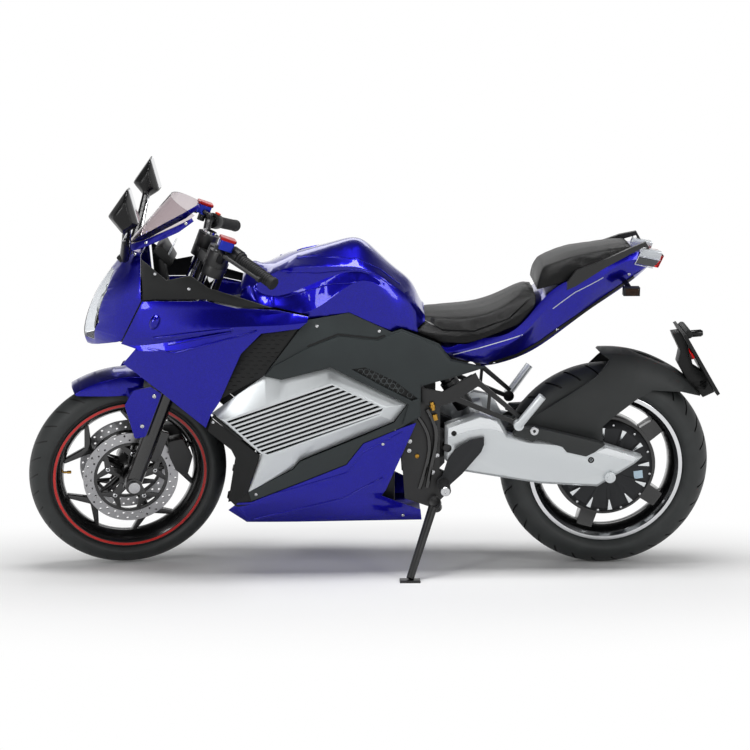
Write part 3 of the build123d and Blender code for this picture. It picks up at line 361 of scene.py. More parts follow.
smoked = clear_plastic("smoked_acrylic", "#CFC6C8", "#D6CDCF", 0.03, 1.20)
clear_lens = clear_plastic("clear_polycarbonate", "#EEF1F4", "#F4F6F8", 0.02, 1.30)
red_lens = clear_plastic("red_lens_acrylic", "#B00D0D", "#C01414", 0.06, 1.30)
amber_lens = clear_plastic("amber_lens_acrylic", "#D9760E", "#E58414", 0.06, 1.30)
print("made the clear plastics")

# %% [markdown]
# ## Softened edges
#
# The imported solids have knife-sharp edges. Real mouldings and castings never do: an edge of a millimetre or
# two catches a thin line of light, and that line is what makes a surface look real. A copy of each solid is
# merged, its flat faces are joined again, and a bevel limited by angle rounds only the true edges. The copy
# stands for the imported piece, which stays behind for the physics.

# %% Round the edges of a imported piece
MERGE = 0.00002
FLAT = math.radians(1.0)
SHARP = math.radians(30)


def copy_of(name, flat=None):
    """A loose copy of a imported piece's mesh, merged, with faces joined that are flat up to an angle."""
    piece = bpy.data.objects.new(name + "_copy", nodes[name].data.copy())
    bpy.context.scene.collection.objects.link(piece)
    alone(piece)
    bpy.ops.object.mode_set(mode="EDIT")
    bpy.ops.mesh.select_all(action="SELECT")
    bpy.ops.mesh.customdata_custom_splitnormals_clear()
    bpy.ops.mesh.remove_doubles(threshold=MERGE)
    if flat:
        bpy.ops.mesh.dissolve_limited(angle_limit=flat)
    bpy.ops.object.mode_set(mode="OBJECT")
    return piece


def softened(name, finish, width):
    """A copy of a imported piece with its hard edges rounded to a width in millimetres."""
    piece = copy_of(name, FLAT)
    apply(piece, "BEVEL", width=width * MM, segments=2, limit_method="ANGLE", angle_limit=SHARP,
          use_clamp_overlap=True)
    smooth(piece, 40)
    finish_piece(piece, name + "_shell", finish, body_of_node[name])
    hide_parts(name)
    return piece


print("edges sharper than", round(math.degrees(SHARP)), "degrees are rounded")

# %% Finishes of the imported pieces
# piece: (finish, record slot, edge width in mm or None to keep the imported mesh)
DRESS = {
    "main_frame": (black_coat, "frame_black", 2.5), "seat_rails": (black_coat, "frame_black", 2.0),
    "battery_pack": (black_abs, "plain_plastic", 4.0), "front_stay": (black_coat, "frame_black", 1.5),
    "nose_cowl": (blue, "blue_paint", 3.0), "headlamp_lens": (clear_lens, "clear_lens", None),
    "headlamp_unit": (black_abs, "lamp_body", 2.0), "windscreen": (smoked, "smoked_screen", None),
    "screen_trim": (blue, "blue_paint", 1.5), "instrument": (black_abs, "black_plastic", 2.0),
    "cockpit_panels": (black_abs, "black_plastic", 2.0), "side_fairings": (blue, "blue_paint", 2.0),
    "infill_panels": (black_abs, "black_plastic", 1.5), "side_covers": (grey_abs, "grey_plastic", 2.0),
    "vent_meshes": (black_abs, "black_plastic", None), "grille_panels": (silver_paint, "silver_paint", 1.2),
    "duct_panels": (black_abs, "black_plastic", 2.0), "belly_pan": (blue, "blue_paint", 2.0),
    "tank_cover": (blue, "blue_paint", 4.0), "rider_seat": (vinyl, "seat_vinyl", None),
    "pillion_seat": (vinyl, "seat_vinyl", None), "tail_cowl": (blue, "blue_paint", 3.0),
    "grab_rails": (black_coat, "frame_black", None), "tail_lamp": (red_lens, "red_lens", 3.0),
    "rear_indicators": (black_abs, "black_plastic", 3.0), "swingarm": (silver_paint, "silver_paint", 4.0),
    "rear_axle": (silver_paint, "steel", 1.0), "rear_shock": (black_coat, "frame_black", None),
    "rear_hugger": (hugger_abs, "black_plastic", 2.0), "plate_bracket": (black_abs, "black_plastic", 1.5),
    "rear_caliper": (black_coat, "frame_black", 2.5), "rider_pegs": (dark_cast, "frame_black", 1.5),
    "passenger_hangers": (black_coat, "frame_black", 2.0),
    "passenger_pegs": (silver_paint, "silver_paint", 1.5), "mirrors": (gloss_abs, "black_plastic", 4.0),
    "fork_sliders": (wheel_coat, "frame_black", 1.5), "fork_tubes": (chrome, "chrome", None),
    "yokes": (black_coat, "frame_black", 2.5), "front_axle": (steel, "steel", 1.0),
    "front_mudguard": (blue, "blue_paint", 1.5), "mudguard_stays": (blue, "blue_paint", 1.2),
    "front_calipers": (black_coat, "frame_black", 3.0), "handlebars": (black_coat, "frame_black", 1.5),
    "grips": (grip_rubber, "grip_rubber", None), "switch_pods": (black_abs, "black_plastic", 2.5),
    "levers": (black_coat, "frame_black", 1.5), "reservoirs": (blue_anodised, "blue_metal", 1.5),
    "reservoir_caps": (red_anodised, "red_metal", 1.5),
    "front_tyre": (tyre_rubber, "tyre_rubber", None), "front_rim": (wheel_coat, "wheel_black", 1.5),
    "front_discs": (disc_steel, "disc_steel", None),
    "rear_tyre": (tyre_rubber, "tyre_rubber", None), "rear_rim": (wheel_coat, "wheel_black", 1.5),
    "hub_motor": (dark_cast, "wheel_black", 1.5), "rear_disc": (disc_steel, "disc_steel", None),
    "stand_leg": (black_coat, "frame_black", 2.0),
}
shells = {}
for name, (finish, slot, width) in DRESS.items():
    if width is None:
        nodes[name].data.materials.clear()
        nodes[name].data.materials.append(finish)
    else:
        shells[name] = softened(name, finish, width)
print(len(shells), "pieces softened,", len(DRESS) - len(shells), "kept as packed")

# %% [markdown]
# ## Padded seats
#
# Both seats are foam under stretched vinyl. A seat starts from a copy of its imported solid, remeshed into
# even squares so that it can bend like cloth. A cloth simulation with a little air pressure then swells it:
# flat faces crown and creases turn into the soft rolls of a real cover. The swelling is capped, and the
# underside, which lies on the tail, stays where it is.

# %% Swell a cover
PAD_STEPS = 20
PAD_PRESSURE = 4.0
# a part of the cover that looks down by more than this share stays on the tail
UNDERSIDE = 0.35
UP = (UPRIGHT.to_3x3() @ Vector((0, 0, 1))).normalized()


def stuffed(seat, swell):
    """Swells a seat with cloth and air pressure, no further than swell."""
    start = [(v.co.copy(), v.normal.dot(UP)) for v in seat.data.vertices]
    cloth = seat.modifiers.new("stuffing", "CLOTH")
    cloth.settings.use_pressure = True
    cloth.settings.uniform_pressure_force = PAD_PRESSURE
    cloth.settings.effector_weights.gravity = 0.0
    for step in range(1, PAD_STEPS + 1):
        bpy.context.scene.frame_set(step)
    alone(seat)
    bpy.ops.object.modifier_apply(modifier="stuffing")
    bpy.context.scene.frame_set(1)
    for vertex, (place, rise) in zip(seat.data.vertices, start):
        move = vertex.co - place
        room = swell * MM * min(max(rise + UNDERSIDE, 0.0), 1.0)
        vertex.co = place + move * min(1.0, room / max(move.length, 1e-9))


print("a cover settles in", PAD_STEPS, "steps")

# %% Round the pillion pad's nose
# how long the nose is, how far its top edge stands back, in mm, and how late that starts
NOSE_LONG, NOSE_BACK, NOSE_CURVE = 110.0, 46.0, 1.6


def lean_back(seat):
    """Rounds the front of a pad: the higher a point of its nose lies, the further it moves back."""
    to_upright = UPRIGHT.inverted()
    places = [to_upright @ v.co for v in seat.data.vertices]
    front = max(p.x for p in places)
    nose = [p.z for p in places if p.x > front - NOSE_LONG]
    low, high = min(nose), max(nose)
    for vertex, place in zip(seat.data.vertices, places):
        share = max(0.0, 1 - (front - place.x) / NOSE_LONG)
        place.x -= NOSE_BACK * share * ((place.z - low) / (high - low)) ** NOSE_CURVE
        vertex.co = UPRIGHT @ place


print("the nose stands back", NOSE_BACK, "mm at its top")

# %% Both seats
# seat: how far its cover may swell, in mm
SEATS = {"rider_seat": 7.0, "pillion_seat": 6.0}
PAD_VOXEL = 5.0
for name, swell in SEATS.items():
    seat = copy_of(name)
    seat.data.remesh_voxel_size = PAD_VOXEL * MM
    bpy.ops.object.voxel_remesh()
    if name == "pillion_seat":
        lean_back(seat)
    apply(seat, "SMOOTH", factor=0.5, iterations=8)
    stuffed(seat, swell)
    apply(seat, "SMOOTH", factor=0.5, iterations=3)
    apply(seat, "SUBSURF", levels=1, render_levels=1)
    smooth(seat, 80)
    finish_piece(seat, name + "_cushion", vinyl, body_of_node[name])
    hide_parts(name)
    print(seat.name, len(seat.data.polygons), "faces")

# %% [markdown]
# ## Tyres with a cut tread
#
# A tyre is a closed ring of rows and columns: rows run round the section, from one bead over the crown to
# the other, and columns run round the wheel. The columns lean back towards the shoulders, and the narrow
# ones among them are pressed in with an inset, which cuts curved grooves on both sides of the crown.

# %% Tyre section
SEAT_R = 212.0
BEAD_GAP = 0.3
SHOULDER_SHARE = 0.41
FLANGE_R = 225.0
FLANGE_T = 6.0
# radius, width and rim width, in mm
FRONT_TYRE = (293.0, 110.0, 84.0)
REAR_TYRE = (307.0, 130.0, 100.0)


def arc(a, b, c, count):
    """Points on the circle through a, b and c, from a to c."""
    d = 2 * (a[0] * (b[1] - c[1]) + b[0] * (c[1] - a[1]) + c[0] * (a[1] - b[1]))
    squares = [p[0] ** 2 + p[1] ** 2 for p in (a, b, c)]
    x = (squares[0] * (b[1] - c[1]) + squares[1] * (c[1] - a[1]) + squares[2] * (a[1] - b[1])) / d
    y = (squares[0] * (c[0] - b[0]) + squares[1] * (a[0] - c[0]) + squares[2] * (b[0] - a[0])) / d
    start = math.atan2(a[1] - y, a[0] - x)
    turn = (math.atan2(c[1] - y, c[0] - x) - start + math.pi) % (2 * math.pi) - math.pi
    radius = math.hypot(a[0] - x, a[1] - y)
    steps = [start + turn * i / count for i in range(count + 1)]
    return [(x + radius * math.cos(t), y + radius * math.sin(t)) for t in steps]


def tyre_section(radius, width, rim_width):
    """Closed section as (radius, place across), from the left bead over the crown to the right bead."""
    bead = rim_width / 2 - FLANGE_T - BEAD_GAP
    half, shoulder, low = width / 2, radius - SHOULDER_SHARE * width, FLANGE_R + 1.0
    bulge = (0.5 * (low + shoulder), half - 3.0)
    left = arc((low, bead), bulge, (shoulder, half), 7)
    # two raised rings on the sidewall, as moulded round the rim
    left[1] = (left[1][0], left[1][1] + 1.6)
    left[5] = (left[5][0], left[5][1] + 1.2)
    crown = arc((shoulder, half), (radius, 0), (shoulder, -half), 20)
    right = [(r, -y) for r, y in reversed(left)]
    return left + crown[1:-1] + right + [(SEAT_R + BEAD_GAP, -bead), (SEAT_R + BEAD_GAP, bead)]


print("a tyre's section has", len(tyre_section(*FRONT_TYRE)), "points")

# %% Cut the tread
GROOVE_DEPTH = 4.0
GROOVE_WALL = 0.7
# where grooves start and end, as shares of the half width, and how deep the crown is, as a share of the width
GROOVE_FROM, GROOVE_TO = 0.10, 0.86
CROWN_SHARE = 0.36
# how far the grooves lean back at the shoulder, in tread pitches
SWEEP, SWEEP_CURVE = 0.80, 1.5
# share of a tread pitch taken by each column: the narrow ones become grooves, on the left and on the right
TREAD_COLUMNS = (0.10, 0.18, 0.22, 0.10, 0.18, 0.22)
LEFT_GROOVE, RIGHT_GROOVE = 0, 3


def treaded_tyre(name, node, size, pitches, place):
    """A tyre of (radius, width, rim width) with grooves at every tread pitch, standing for a packed tyre."""
    section = tyre_section(*size)
    rows, columns = len(section), pitches * len(TREAD_COLUMNS)
    half = size[1] / 2
    clear_selection()
    bpy.ops.mesh.primitive_grid_add(x_subdivisions=rows, y_subdivisions=columns, size=1)
    tyre = bpy.context.object
    marks = {}
    for vertex in tyre.data.vertices:
        row = round((vertex.co.x + 0.5) * rows)
        column = round((vertex.co.y + 0.5) * columns)
        pitch, step = divmod(column, len(TREAD_COLUMNS))
        radius, across = section[row % rows]
        sweep = SWEEP * (abs(across) / half) ** SWEEP_CURVE
        angle = 2 * math.pi * (pitch + sum(TREAD_COLUMNS[:step]) - sweep) / pitches
        marks[vertex.index] = (row, step, across / half)
        vertex.co = (radius * math.sin(angle), across, radius * math.cos(angle))
    for face in tyre.data.polygons:
        corners = [marks[i] for i in face.vertices]
        across = sum(c[2] for c in corners) / 4
        on_crown = size[0] - CROWN_SHARE * size[1] < tyre.data.vertices[face.vertices[0]].co.xz.length
        steps = sorted(c[1] for c in corners)
        column = steps[0] if steps[-1] - steps[0] == 1 else None
        out = across if column == LEFT_GROOVE else -across
        face.select = on_crown and column in (LEFT_GROOVE, RIGHT_GROOVE) and GROOVE_FROM < out < GROOVE_TO
    cut = sum(face.select for face in tyre.data.polygons)
    # painted shade: the groove floor faces are flagged, and the tyre finish paints them near black
    groove = tyre.data.attributes.new("groove", "FLOAT", "FACE")
    for value, face in zip(groove.data, tyre.data.polygons):
        value.value = float(face.select)
    bpy.ops.object.mode_set(mode="EDIT")
    bpy.ops.mesh.select_mode(type="FACE")
    bpy.ops.mesh.inset(thickness=GROOVE_WALL, depth=-GROOVE_DEPTH)
    bpy.ops.mesh.select_all(action="SELECT")
    bpy.ops.mesh.remove_doubles(threshold=0.05)
    bpy.ops.mesh.normals_make_consistent(inside=False)
    bpy.ops.object.mode_set(mode="OBJECT")
    smooth(tyre, 42)
    finish_piece(tyre, name, tyre_rubber, body_of_node[node], place)
    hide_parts(node)
    print(name, len(tyre.data.polygons), "faces,", cut, "of them in grooves")


print("grooves are", GROOVE_DEPTH, "mm deep")

# %% Both tyres
FRONT_WHEEL = TURNED @ Matrix.Translation((WHEELBASE, 0, FRONT_AXLE_H))
REAR_WHEEL = UPRIGHT @ Matrix.Translation((0, 0, REAR_AXLE_H))
treaded_tyre("front_tyre_treaded", "front_tyre", FRONT_TYRE, 32, FRONT_WHEEL)
treaded_tyre("rear_tyre_treaded", "rear_tyre", REAR_TYRE, 30, REAR_WHEEL)

# %% [markdown]
# ## Turned pieces
#
# Rings, buttons, caps and plugs are turned on a lathe in the workshop, and here too: a section is laid out
# as a loop of points and spun once round the Y axis. Spinning can turn the faces inside out, so the doubles
# are merged and the normals are worked out again.

# %% Lathe
def lathe(section, steps=48):
    """Turns a closed section of (radius, place along the axis) about Y, in millimetres."""
    clear_selection()
    bpy.ops.mesh.primitive_circle_add(vertices=len(section), radius=1.0)
    piece = bpy.context.object
    for vertex, (radius, along) in zip(piece.data.vertices, section):
        vertex.co = (radius, along, 0)
    bpy.ops.object.mode_set(mode="EDIT")
    bpy.ops.mesh.select_all(action="SELECT")
    bpy.ops.mesh.spin(steps=steps, angle=2 * math.pi, center=(0, 0, 0), axis=(0, 1, 0))
    bpy.ops.mesh.select_all(action="SELECT")
    bpy.ops.mesh.remove_doubles(threshold=0.01)
    bpy.ops.mesh.normals_make_consistent(inside=False)
    bpy.ops.object.mode_set(mode="OBJECT")
    return smooth(piece, 35)


def joined(*pieces):
    """Several pieces joined into one."""
    clear_selection()
    for piece in pieces:
        piece.select_set(True)
    bpy.context.view_layer.objects.active = pieces[0]
    if len(pieces) > 1:
        bpy.ops.object.join()
    return bpy.context.view_layer.objects.active


def copies(pattern, places):
    """One mesh from copies of a pattern at several places, each a matrix. The pattern itself is used up."""
    made = []
    for place in places:
        copy = bpy.data.objects.new(pattern.name + "_copy", pattern.data.copy())
        copy.data.transform(place)
        bpy.context.scene.collection.objects.link(copy)
        made.append(copy)
    bpy.data.objects.remove(pattern)
    return joined(*made)


def spun(degrees):
    """A turn about the Y axis."""
    return Matrix.Rotation(math.radians(degrees), 4, "Y")


def evenly(count, start):
    """Turns spread evenly about the Y axis, in degrees from the top towards the front."""
    return [spun(start + 360 * i / count) for i in range(count)]


def round_about(count, radius, along, start):
    """Places round the Y axis at a radius and a place along it, in degrees from the top."""
    return [turn @ Matrix.Translation((0, along, radius)) for turn in evenly(count, start)]


print("lathe ready")

# %% [markdown]
# ## Wheels: stripes, brake discs and buttons
#
# The front rim carries a red enamel stripe on each flange, the rear rim a polished lip. The brake bands are
# ground steel, drilled in two staggered rows: small cylinders are joined into one cutter and taken out of
# the band with a Boolean. Silver buttons hold the bands on their carriers.

# %% Rim stripes and polished lips
FRONT_FLANGE_Y, REAR_FLANGE_Y = 42.0, 50.0
stripe = lathe([(216.2, 0.0), (223.8, 0.0), (223.2, 0.7), (216.8, 0.7)], 96)
stripes = copies(stripe, [Matrix.Translation((0, FRONT_FLANGE_Y, 0)),
                          Matrix.Translation((0, -FRONT_FLANGE_Y - 0.7, 0))])
finish_piece(stripes, "front_rim_stripes", red_stripe, "front_wheel", FRONT_WHEEL)
lip = lathe([(213.6, 0.0), (225.2, 0.0), (225.2, 0.5), (224.2, 1.0), (214.2, 1.0),
             (204.5, -10.6), (204.5, -11.8)], 96)
lip_right = Matrix.Translation((0, -REAR_FLANGE_Y, 0)) @ Matrix.Rotation(math.pi, 4, "X")
lips = copies(lip, [Matrix.Translation((0, REAR_FLANGE_Y, 0)), lip_right])
finish_piece(lips, "rear_rim_polished_lips", chrome, "rear_wheel", REAR_WHEEL)
print("stripes and lips turned")

# %% Drilled brake discs
DISC_T = 5.0


def drilled_disc(outer, inner, rows):
    """A brake band centred on the origin, drilled in rows of (count, radius, hole radius, start angle)."""
    half = DISC_T / 2
    band = lathe([(inner, -half), (outer - 0.6, -half), (outer, 0.6 - half), (outer, half - 0.6),
                  (outer - 0.6, half), (inner, half)], 120)
    holes = []
    for count, radius, hole, start in rows:
        clear_selection()
        bpy.ops.mesh.primitive_cylinder_add(vertices=10, radius=hole, depth=3 * DISC_T,
                                            rotation=(math.pi / 2, 0, 0))
        drill = settle(bpy.context.object)
        holes.append(copies(drill, round_about(count, radius, 0.0, start)))
    cutter = joined(*holes)
    apply(band, "BOOLEAN", object=cutter, operation="DIFFERENCE", solver="EXACT")
    bpy.data.objects.remove(cutter)
    return smooth(band, 35)


FRONT_DISC_Y = 51.0
band = drilled_disc(138.0, 108.3, [(28, 116.0, 3.4, 0.0), (28, 130.0, 3.4, 6.4)])
bands = copies(band, [Matrix.Translation((0, FRONT_DISC_Y, 0)), Matrix.Translation((0, -FRONT_DISC_Y, 0))])
finish_piece(bands, "front_discs_drilled", disc_steel, "front_wheel", FRONT_WHEEL)
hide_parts("front_discs")
button = lathe([(0.0, -4.2), (7.0, -4.2), (7.0, 3.4), (5.6, 4.6), (3.2, 4.6), (2.6, 2.6), (0.0, 2.6)], 20)
places = [Matrix.Translation((0, y, 0)) @ spot for y in (FRONT_DISC_Y, -FRONT_DISC_Y)
          for spot in round_about(5, 72.0, 0.0, 66.0)]
finish_piece(copies(button, places), "front_disc_buttons", zinc, "front_wheel", FRONT_WHEEL)
print("front discs drilled", len(bands.data.polygons), "faces")

# %% [markdown]
# ## Bolts
#
# Panels are held by small button-head screws. One is turned on the lathe with its socket, and copies are
# set on the panels: a place is given as upright X and Z, and a ray from the side finds the surface and the
# way it faces, so that each head sits flat on what it holds, on both sides of the machine.

# %% Find a surface from the side
from mathutils.bvhtree import BVHTree
FAR_OUT = 500.0
trees = {}


def tree_of(mesh):
    """A search tree over the faces of a mesh, for rays."""
    return BVHTree.FromPolygons([v.co for v in mesh.vertices], [p.vertices for p in mesh.polygons])


def ray_hit(node, place, way):
    """Where a ray from an upright place meets a node, and the way the surface faces."""
    if node not in trees:
        trees[node] = tree_of(nodes[node].data)
    frame_of = TURNED if body_of_node[node] == "steering" else UPRIGHT
    way = (frame_of.to_3x3() @ Vector(way)).normalized()
    found, normal, _, _ = trees[node].ray_cast(frame_of @ Vector(place), way)
    if found is None:
        return None, None
    return found, -normal if normal.dot(way) > 0 else normal


def side_hit(node, x, z, side):
    """Where a ray from the side meets a node at an upright X and Z."""
    return ray_hit(node, (x, side * FAR_OUT, z), (0, -side, 0))


def flank(node, x, z):
    """How far a node's left flank stands out from the middle plane at an upright X and Z."""
    return (UPRIGHT.inverted() @ side_hit(node, x, z, 1)[0]).y


print("the side cover stands out", round(flank("side_covers", 841, 765)), "mm")

# %% Stand a piece on a surface
def stood(found, normal, lift=0.0):
    """Matrix that stands a piece's Y axis on a surface."""
    turn = normal.to_track_quat("Y", "Z").to_matrix().to_4x4()
    return Matrix.Translation(found + normal * lift * MM) @ turn @ Matrix.Scale(MM, 4)


def seat_on(node, x, z, side, lift=0.0):
    """Matrix that stands a piece's Y axis on a node's outer surface at an upright place."""
    found, normal = side_hit(node, x, z, side)
    if found is None:
        raise ValueError(f"no surface of {node} at {x}, {z}")
    return stood(found, normal, lift)


def screw(radius):
    """Button-head screw with a round socket, standing on Y = 0."""
    r = radius
    return lathe([(0.0, -1.0), (r, -1.0), (r, 0.25 * r), (0.8 * r, 0.55 * r), (0.5 * r, 0.66 * r),
                  (0.46 * r, 0.2 * r), (0.0, 0.2 * r)], 18)


print("screws can be set")

# %% Set the screws
# group: (finish, body, head radius, [(node, upright x, upright z), ...] on both sides)
SCREWS = {
    "body_screws": (zinc, "chassis", 5.0, [
        ("screen_trim", 1318, 985), ("screen_trim", 1202, 1046), ("nose_cowl", 1348, 957),
        ("cockpit_panels", 1289, 910), ("cockpit_panels", 1195, 870), ("duct_panels", 1136, 488),
        ("side_covers", 1019, 268), ("side_covers", 841, 765), ("side_covers", 667, 747),
        ("belly_pan", 656, 420), ("belly_pan", 596, 189), ("tail_cowl", 338, 640), ("tail_cowl", 158, 732),
        ("tail_cowl", -41, 892)]),
    "frame_bolts": (zinc, "chassis", 7.5, [
        ("main_frame", 578, 419), ("main_frame", 580, 391), ("main_frame", 500, 376),
        ("main_frame", 511, 325)]),
    "frame_brass_bolts": (brass, "chassis", 7.0, [("main_frame", 557, 374)]),
    "mudguard_screws": (zinc, "steering", 6.5, [
        ("mudguard_stays", 1334, 568), ("mudguard_stays", 1371, 480)]),
    "swingarm_plugs": (gloss_abs, "chassis", 8.0, [("swingarm", 452, 440)]),
}
for name, (finish, body, radius, spots) in SCREWS.items():
    places = [seat_on(node, x, z, side) for node, x, z in spots for side in (1, -1)]
    finish_piece(copies(screw(radius), places), name, finish, body)
    print(name, len(places))

# %% [markdown]
# ## Bars, plates and ribbons
#
# Most small parts of a motorcycle are rod, bent tube, cut plate or milled block. Short functions make them
# from one primitive each, in upright millimetres, with softened edges. A ribbon is laid on a panel: rays
# from the side find the panel's surface under both of its edges, so it follows every crease.

# %% Bars, plates and blocks
def rounded(piece, edge):
    """Softens the hard edges of a piece, in millimetres."""
    if edge:
        apply(piece, "BEVEL", width=edge, segments=2, limit_method="ANGLE", angle_limit=math.radians(35))
    return smooth(piece, 40)


def bar(start, end, radius, sides=24):
    """Round bar between two points, with softened ends."""
    a, b = Vector(start), Vector(end)
    clear_selection()
    bpy.ops.mesh.primitive_cone_add(vertices=sides, radius1=radius, radius2=radius, depth=(b - a).length)
    turn = (b - a).to_track_quat("Z", "Y").to_matrix().to_4x4()
    return rounded(settle(bpy.context.object, Matrix.Translation((a + b) / 2) @ turn), 1.0)


def plate(outline, y_in, y_out, edge=1.0):
    """Plate with a side-view outline of (x, z), from y_in to y_out."""
    clear_selection()
    bpy.ops.mesh.primitive_circle_add(vertices=len(outline), fill_type="NGON")
    piece = bpy.context.object
    for vertex, (x, z) in zip(piece.data.vertices, outline):
        vertex.co = (x, y_in, z)
    bpy.ops.object.mode_set(mode="EDIT")
    bpy.ops.mesh.select_all(action="SELECT")
    bpy.ops.mesh.extrude_region_move(TRANSFORM_OT_translate={"value": (0, y_out - y_in, 0)})
    bpy.ops.mesh.select_all(action="SELECT")
    bpy.ops.mesh.normals_make_consistent(inside=False)
    bpy.ops.object.mode_set(mode="OBJECT")
    return rounded(piece, edge)


def block(middle, size, turn=(0, 0, 0), edge=2.0):
    """Block of a size about its middle, turned in degrees about X, Y and Z."""
    clear_selection()
    bpy.ops.mesh.primitive_cube_add(size=1, location=middle, rotation=[math.radians(a) for a in turn])
    piece = bpy.context.object
    piece.scale = size
    return rounded(settle(piece), edge)


print("bars, plates and blocks can be made")

# %% Tubes, pebbles and ribs
def tube(points, radius):
    """Bent tube along a smooth line, turned into a mesh."""
    clear_selection()
    bpy.ops.curve.primitive_nurbs_path_add()
    path = bpy.context.object
    line = path.data.splines[0]
    line.points.add(max(0, len(points) - len(line.points)))
    for point, place in zip(line.points, points):
        point.co = (*place, 1.0)
    line.order_u = 3
    line.use_endpoint_u = True
    path.data.bevel_depth = radius
    path.data.bevel_resolution = 4
    path.data.use_fill_caps = True
    alone(path)
    bpy.ops.object.convert(target="MESH")
    return smooth(bpy.context.object, 40)


def pebble(size, segments):
    """Rounded pebble with its half sizes along X, Y and Z."""
    clear_selection()
    bpy.ops.mesh.primitive_uv_sphere_add(segments=segments, ring_count=segments // 2, radius=1.0, scale=size)
    return settle(bpy.context.object)


def ribs(count, start, pitch, high, low):
    """Part of a lathe section: ribs of a high radius, with gaps of a low one between them."""
    rib, slope = 3.6, 0.6
    section = []
    for begin in [start + pitch * i for i in range(count)]:
        section += [(high, begin), (high, begin + rib),
                    (low, begin + rib + slope), (low, begin + pitch - slope)]
    return section


print("tubes, pebbles and ribs can be made")

# %% Mirroring and ribbons
def both_sides(piece):
    """Adds the mirror image across the middle plane."""
    return apply(piece, "MIRROR", use_axis=(False, True, False), use_mirror_merge=False)


def fit_pair(piece, name, finish):
    """Mirrors an upright piece, finishes both and fixes them to the chassis."""
    return finish_piece(both_sides(piece), name, finish, "chassis", UPRIGHT)


def ribbon(node, line, width, side, lift, thick, step):
    """Strip of a width laid on a node along an upright (x, z) line, ending where the panel ends."""
    marks = []
    for (x0, z0), (x1, z1) in zip(line, line[1:]):
        long = math.hypot(x1 - x0, z1 - z0)
        count = max(1, round(long / step))
        across = Vector((z0 - z1, x1 - x0)) / long * width / 2
        marks += [(x0 + (x1 - x0) * i / count, z0 + (z1 - z0) * i / count, across) for i in range(count)]
    marks.append((*line[-1], marks[-1][2]))
    marks = [(x, z, way) for x, z, way in marks
             if all(side_hit(node, x + sign * way.x, z + sign * way.y, side)[0] for sign in (1, -1))]
    clear_selection()
    bpy.ops.mesh.primitive_grid_add(x_subdivisions=len(marks) - 1, y_subdivisions=1, size=1)
    strip = bpy.context.object
    for vertex in strip.data.vertices:
        x, z, across = marks[round((vertex.co.x + 0.5) * (len(marks) - 1))]
        sign = 1 if vertex.co.y > 0 else -1
        vertex.co = seat_on(node, x + sign * across.x, z + sign * across.y, side, lift).translation
    apply(strip, "SOLIDIFY", thickness=thick * MM, offset=0.0)
    return smooth(strip, 60)


def ribbons(rows, lift=0.4, thick=0.8, step=14.0, edge=None):
    """Strips for rows of (node, line of (x, z), width), on both sides and joined into one."""
    strips = [ribbon(node, line, width, side, lift, thick, step)
              for node, line, width in rows for side in (1, -1)]
    for strip in strips:
        if edge:
            apply(strip, "BEVEL", width=edge * MM, segments=2, limit_method="ANGLE")
    return joined(*strips)


print("ribbons can be laid")

# %% Places inside an outline
def inside(outline, x, z):
    """Whether a side-view place lies in an outline."""
    count = 0
    for (x0, z0), (x1, z1) in zip(outline, outline[1:] + outline[:1]):
        if (z0 > z) != (z1 > z) and x < x0 + (z - z0) / (z1 - z0) * (x1 - x0):
            count += 1
    return count % 2 == 1


def staggered(node, outline, start, pitch, rows=16, columns=12):
    """Places on a node in staggered rows inside an outline, on both sides."""
    places = []
    for row in range(rows):
        for column in range(columns):
            x = start[0] + pitch[0] * (column + 0.5 * (row % 2))
            z = start[1] + pitch[1] * row
            if inside(outline, x, z):
                places += [seat_on(node, x, z, side) for side in (1, -1)]
    return places


print("outlines can be filled")

# %% [markdown]
# ## Side panels
#
# Behind the slots of the silver cover lies a black inner panel. The vent above it is closed by a honeycomb
# of six-sided cells, 16 mm across, in three fields between slanting bars. The black infill ahead carries
# rows of short raised dashes. A dark joint line runs where the raised pad of the side cover meets the upper
# panel.

# %% Inner panels, honeycomb and dashes
GRILLE_EDGE = [(1136, 508), (989, 615), (942, 606), (803, 640), (594, 535), (628, 488), (893, 374),
               (916, 348), (1036, 282), (1000, 390)]
VENT = [(738, 640), (707, 644), (625, 603), (563, 554), (575, 550), (663, 596)]
INFILL = [(986, 738), (908, 748), (972, 662), (994, 632), (1108, 568), (1048, 684)]
CELL_PITCH, DASH_PITCH = (16.3, 14.1), (24.0, 12.0)
fit_pair(plate(GRILLE_EDGE, 143, 146), "grille_inner_panels", black_abs)
cell = lathe([(7.3, -1.0), (9.3, -1.0), (9.3, 3.0), (7.3, 3.0)], 6)
cells = staggered("vent_meshes", VENT, (556, 547), CELL_PITCH)
mesh_grey = moulded("mesh_grey_abs", "#4C5152", "#585D5E", 0.45)
finish_piece(copies(cell, cells), "vent_honeycomb", mesh_grey, "chassis")
dashes = staggered("infill_panels", INFILL, (905, 570), DASH_PITCH)
finish_piece(copies(pebble((7.5, 1.6, 2.4), 12), dashes), "infill_dashes", black_abs, "chassis")
print(len(cells), "cells,", len(dashes), "dashes")

# %% Joint lines and vent bars
JOINTS = {
    # name: (node, line of (x, z), width)
    "cover_joint": ("side_covers", [(868, 708), (783, 741), (673, 727), (650, 735)], 4.0),
    "vent_bar_a": ("vent_meshes", [(678, 626), (662, 600)], 5.0),
    "vent_bar_b": ("vent_meshes", [(624, 597), (616, 572)], 5.0),
}
for name, row in JOINTS.items():
    finish_piece(ribbons([row], 1.2, 2.4), name, gloss_abs, "chassis")
print(len(JOINTS), "joint lines and bars")

# %% [markdown]
# ## Hub motor and swingarm
#
# Twelve bright wedges stand on the outer ends of the motor's ribs, with a small bolt between each pair, and
# a blank foil label sits on one of the black sectors. The swingarm has a polished shoulder at its front and
# a bright upper facet at its tip, and a black moulding of the hugger lies along its top edge.

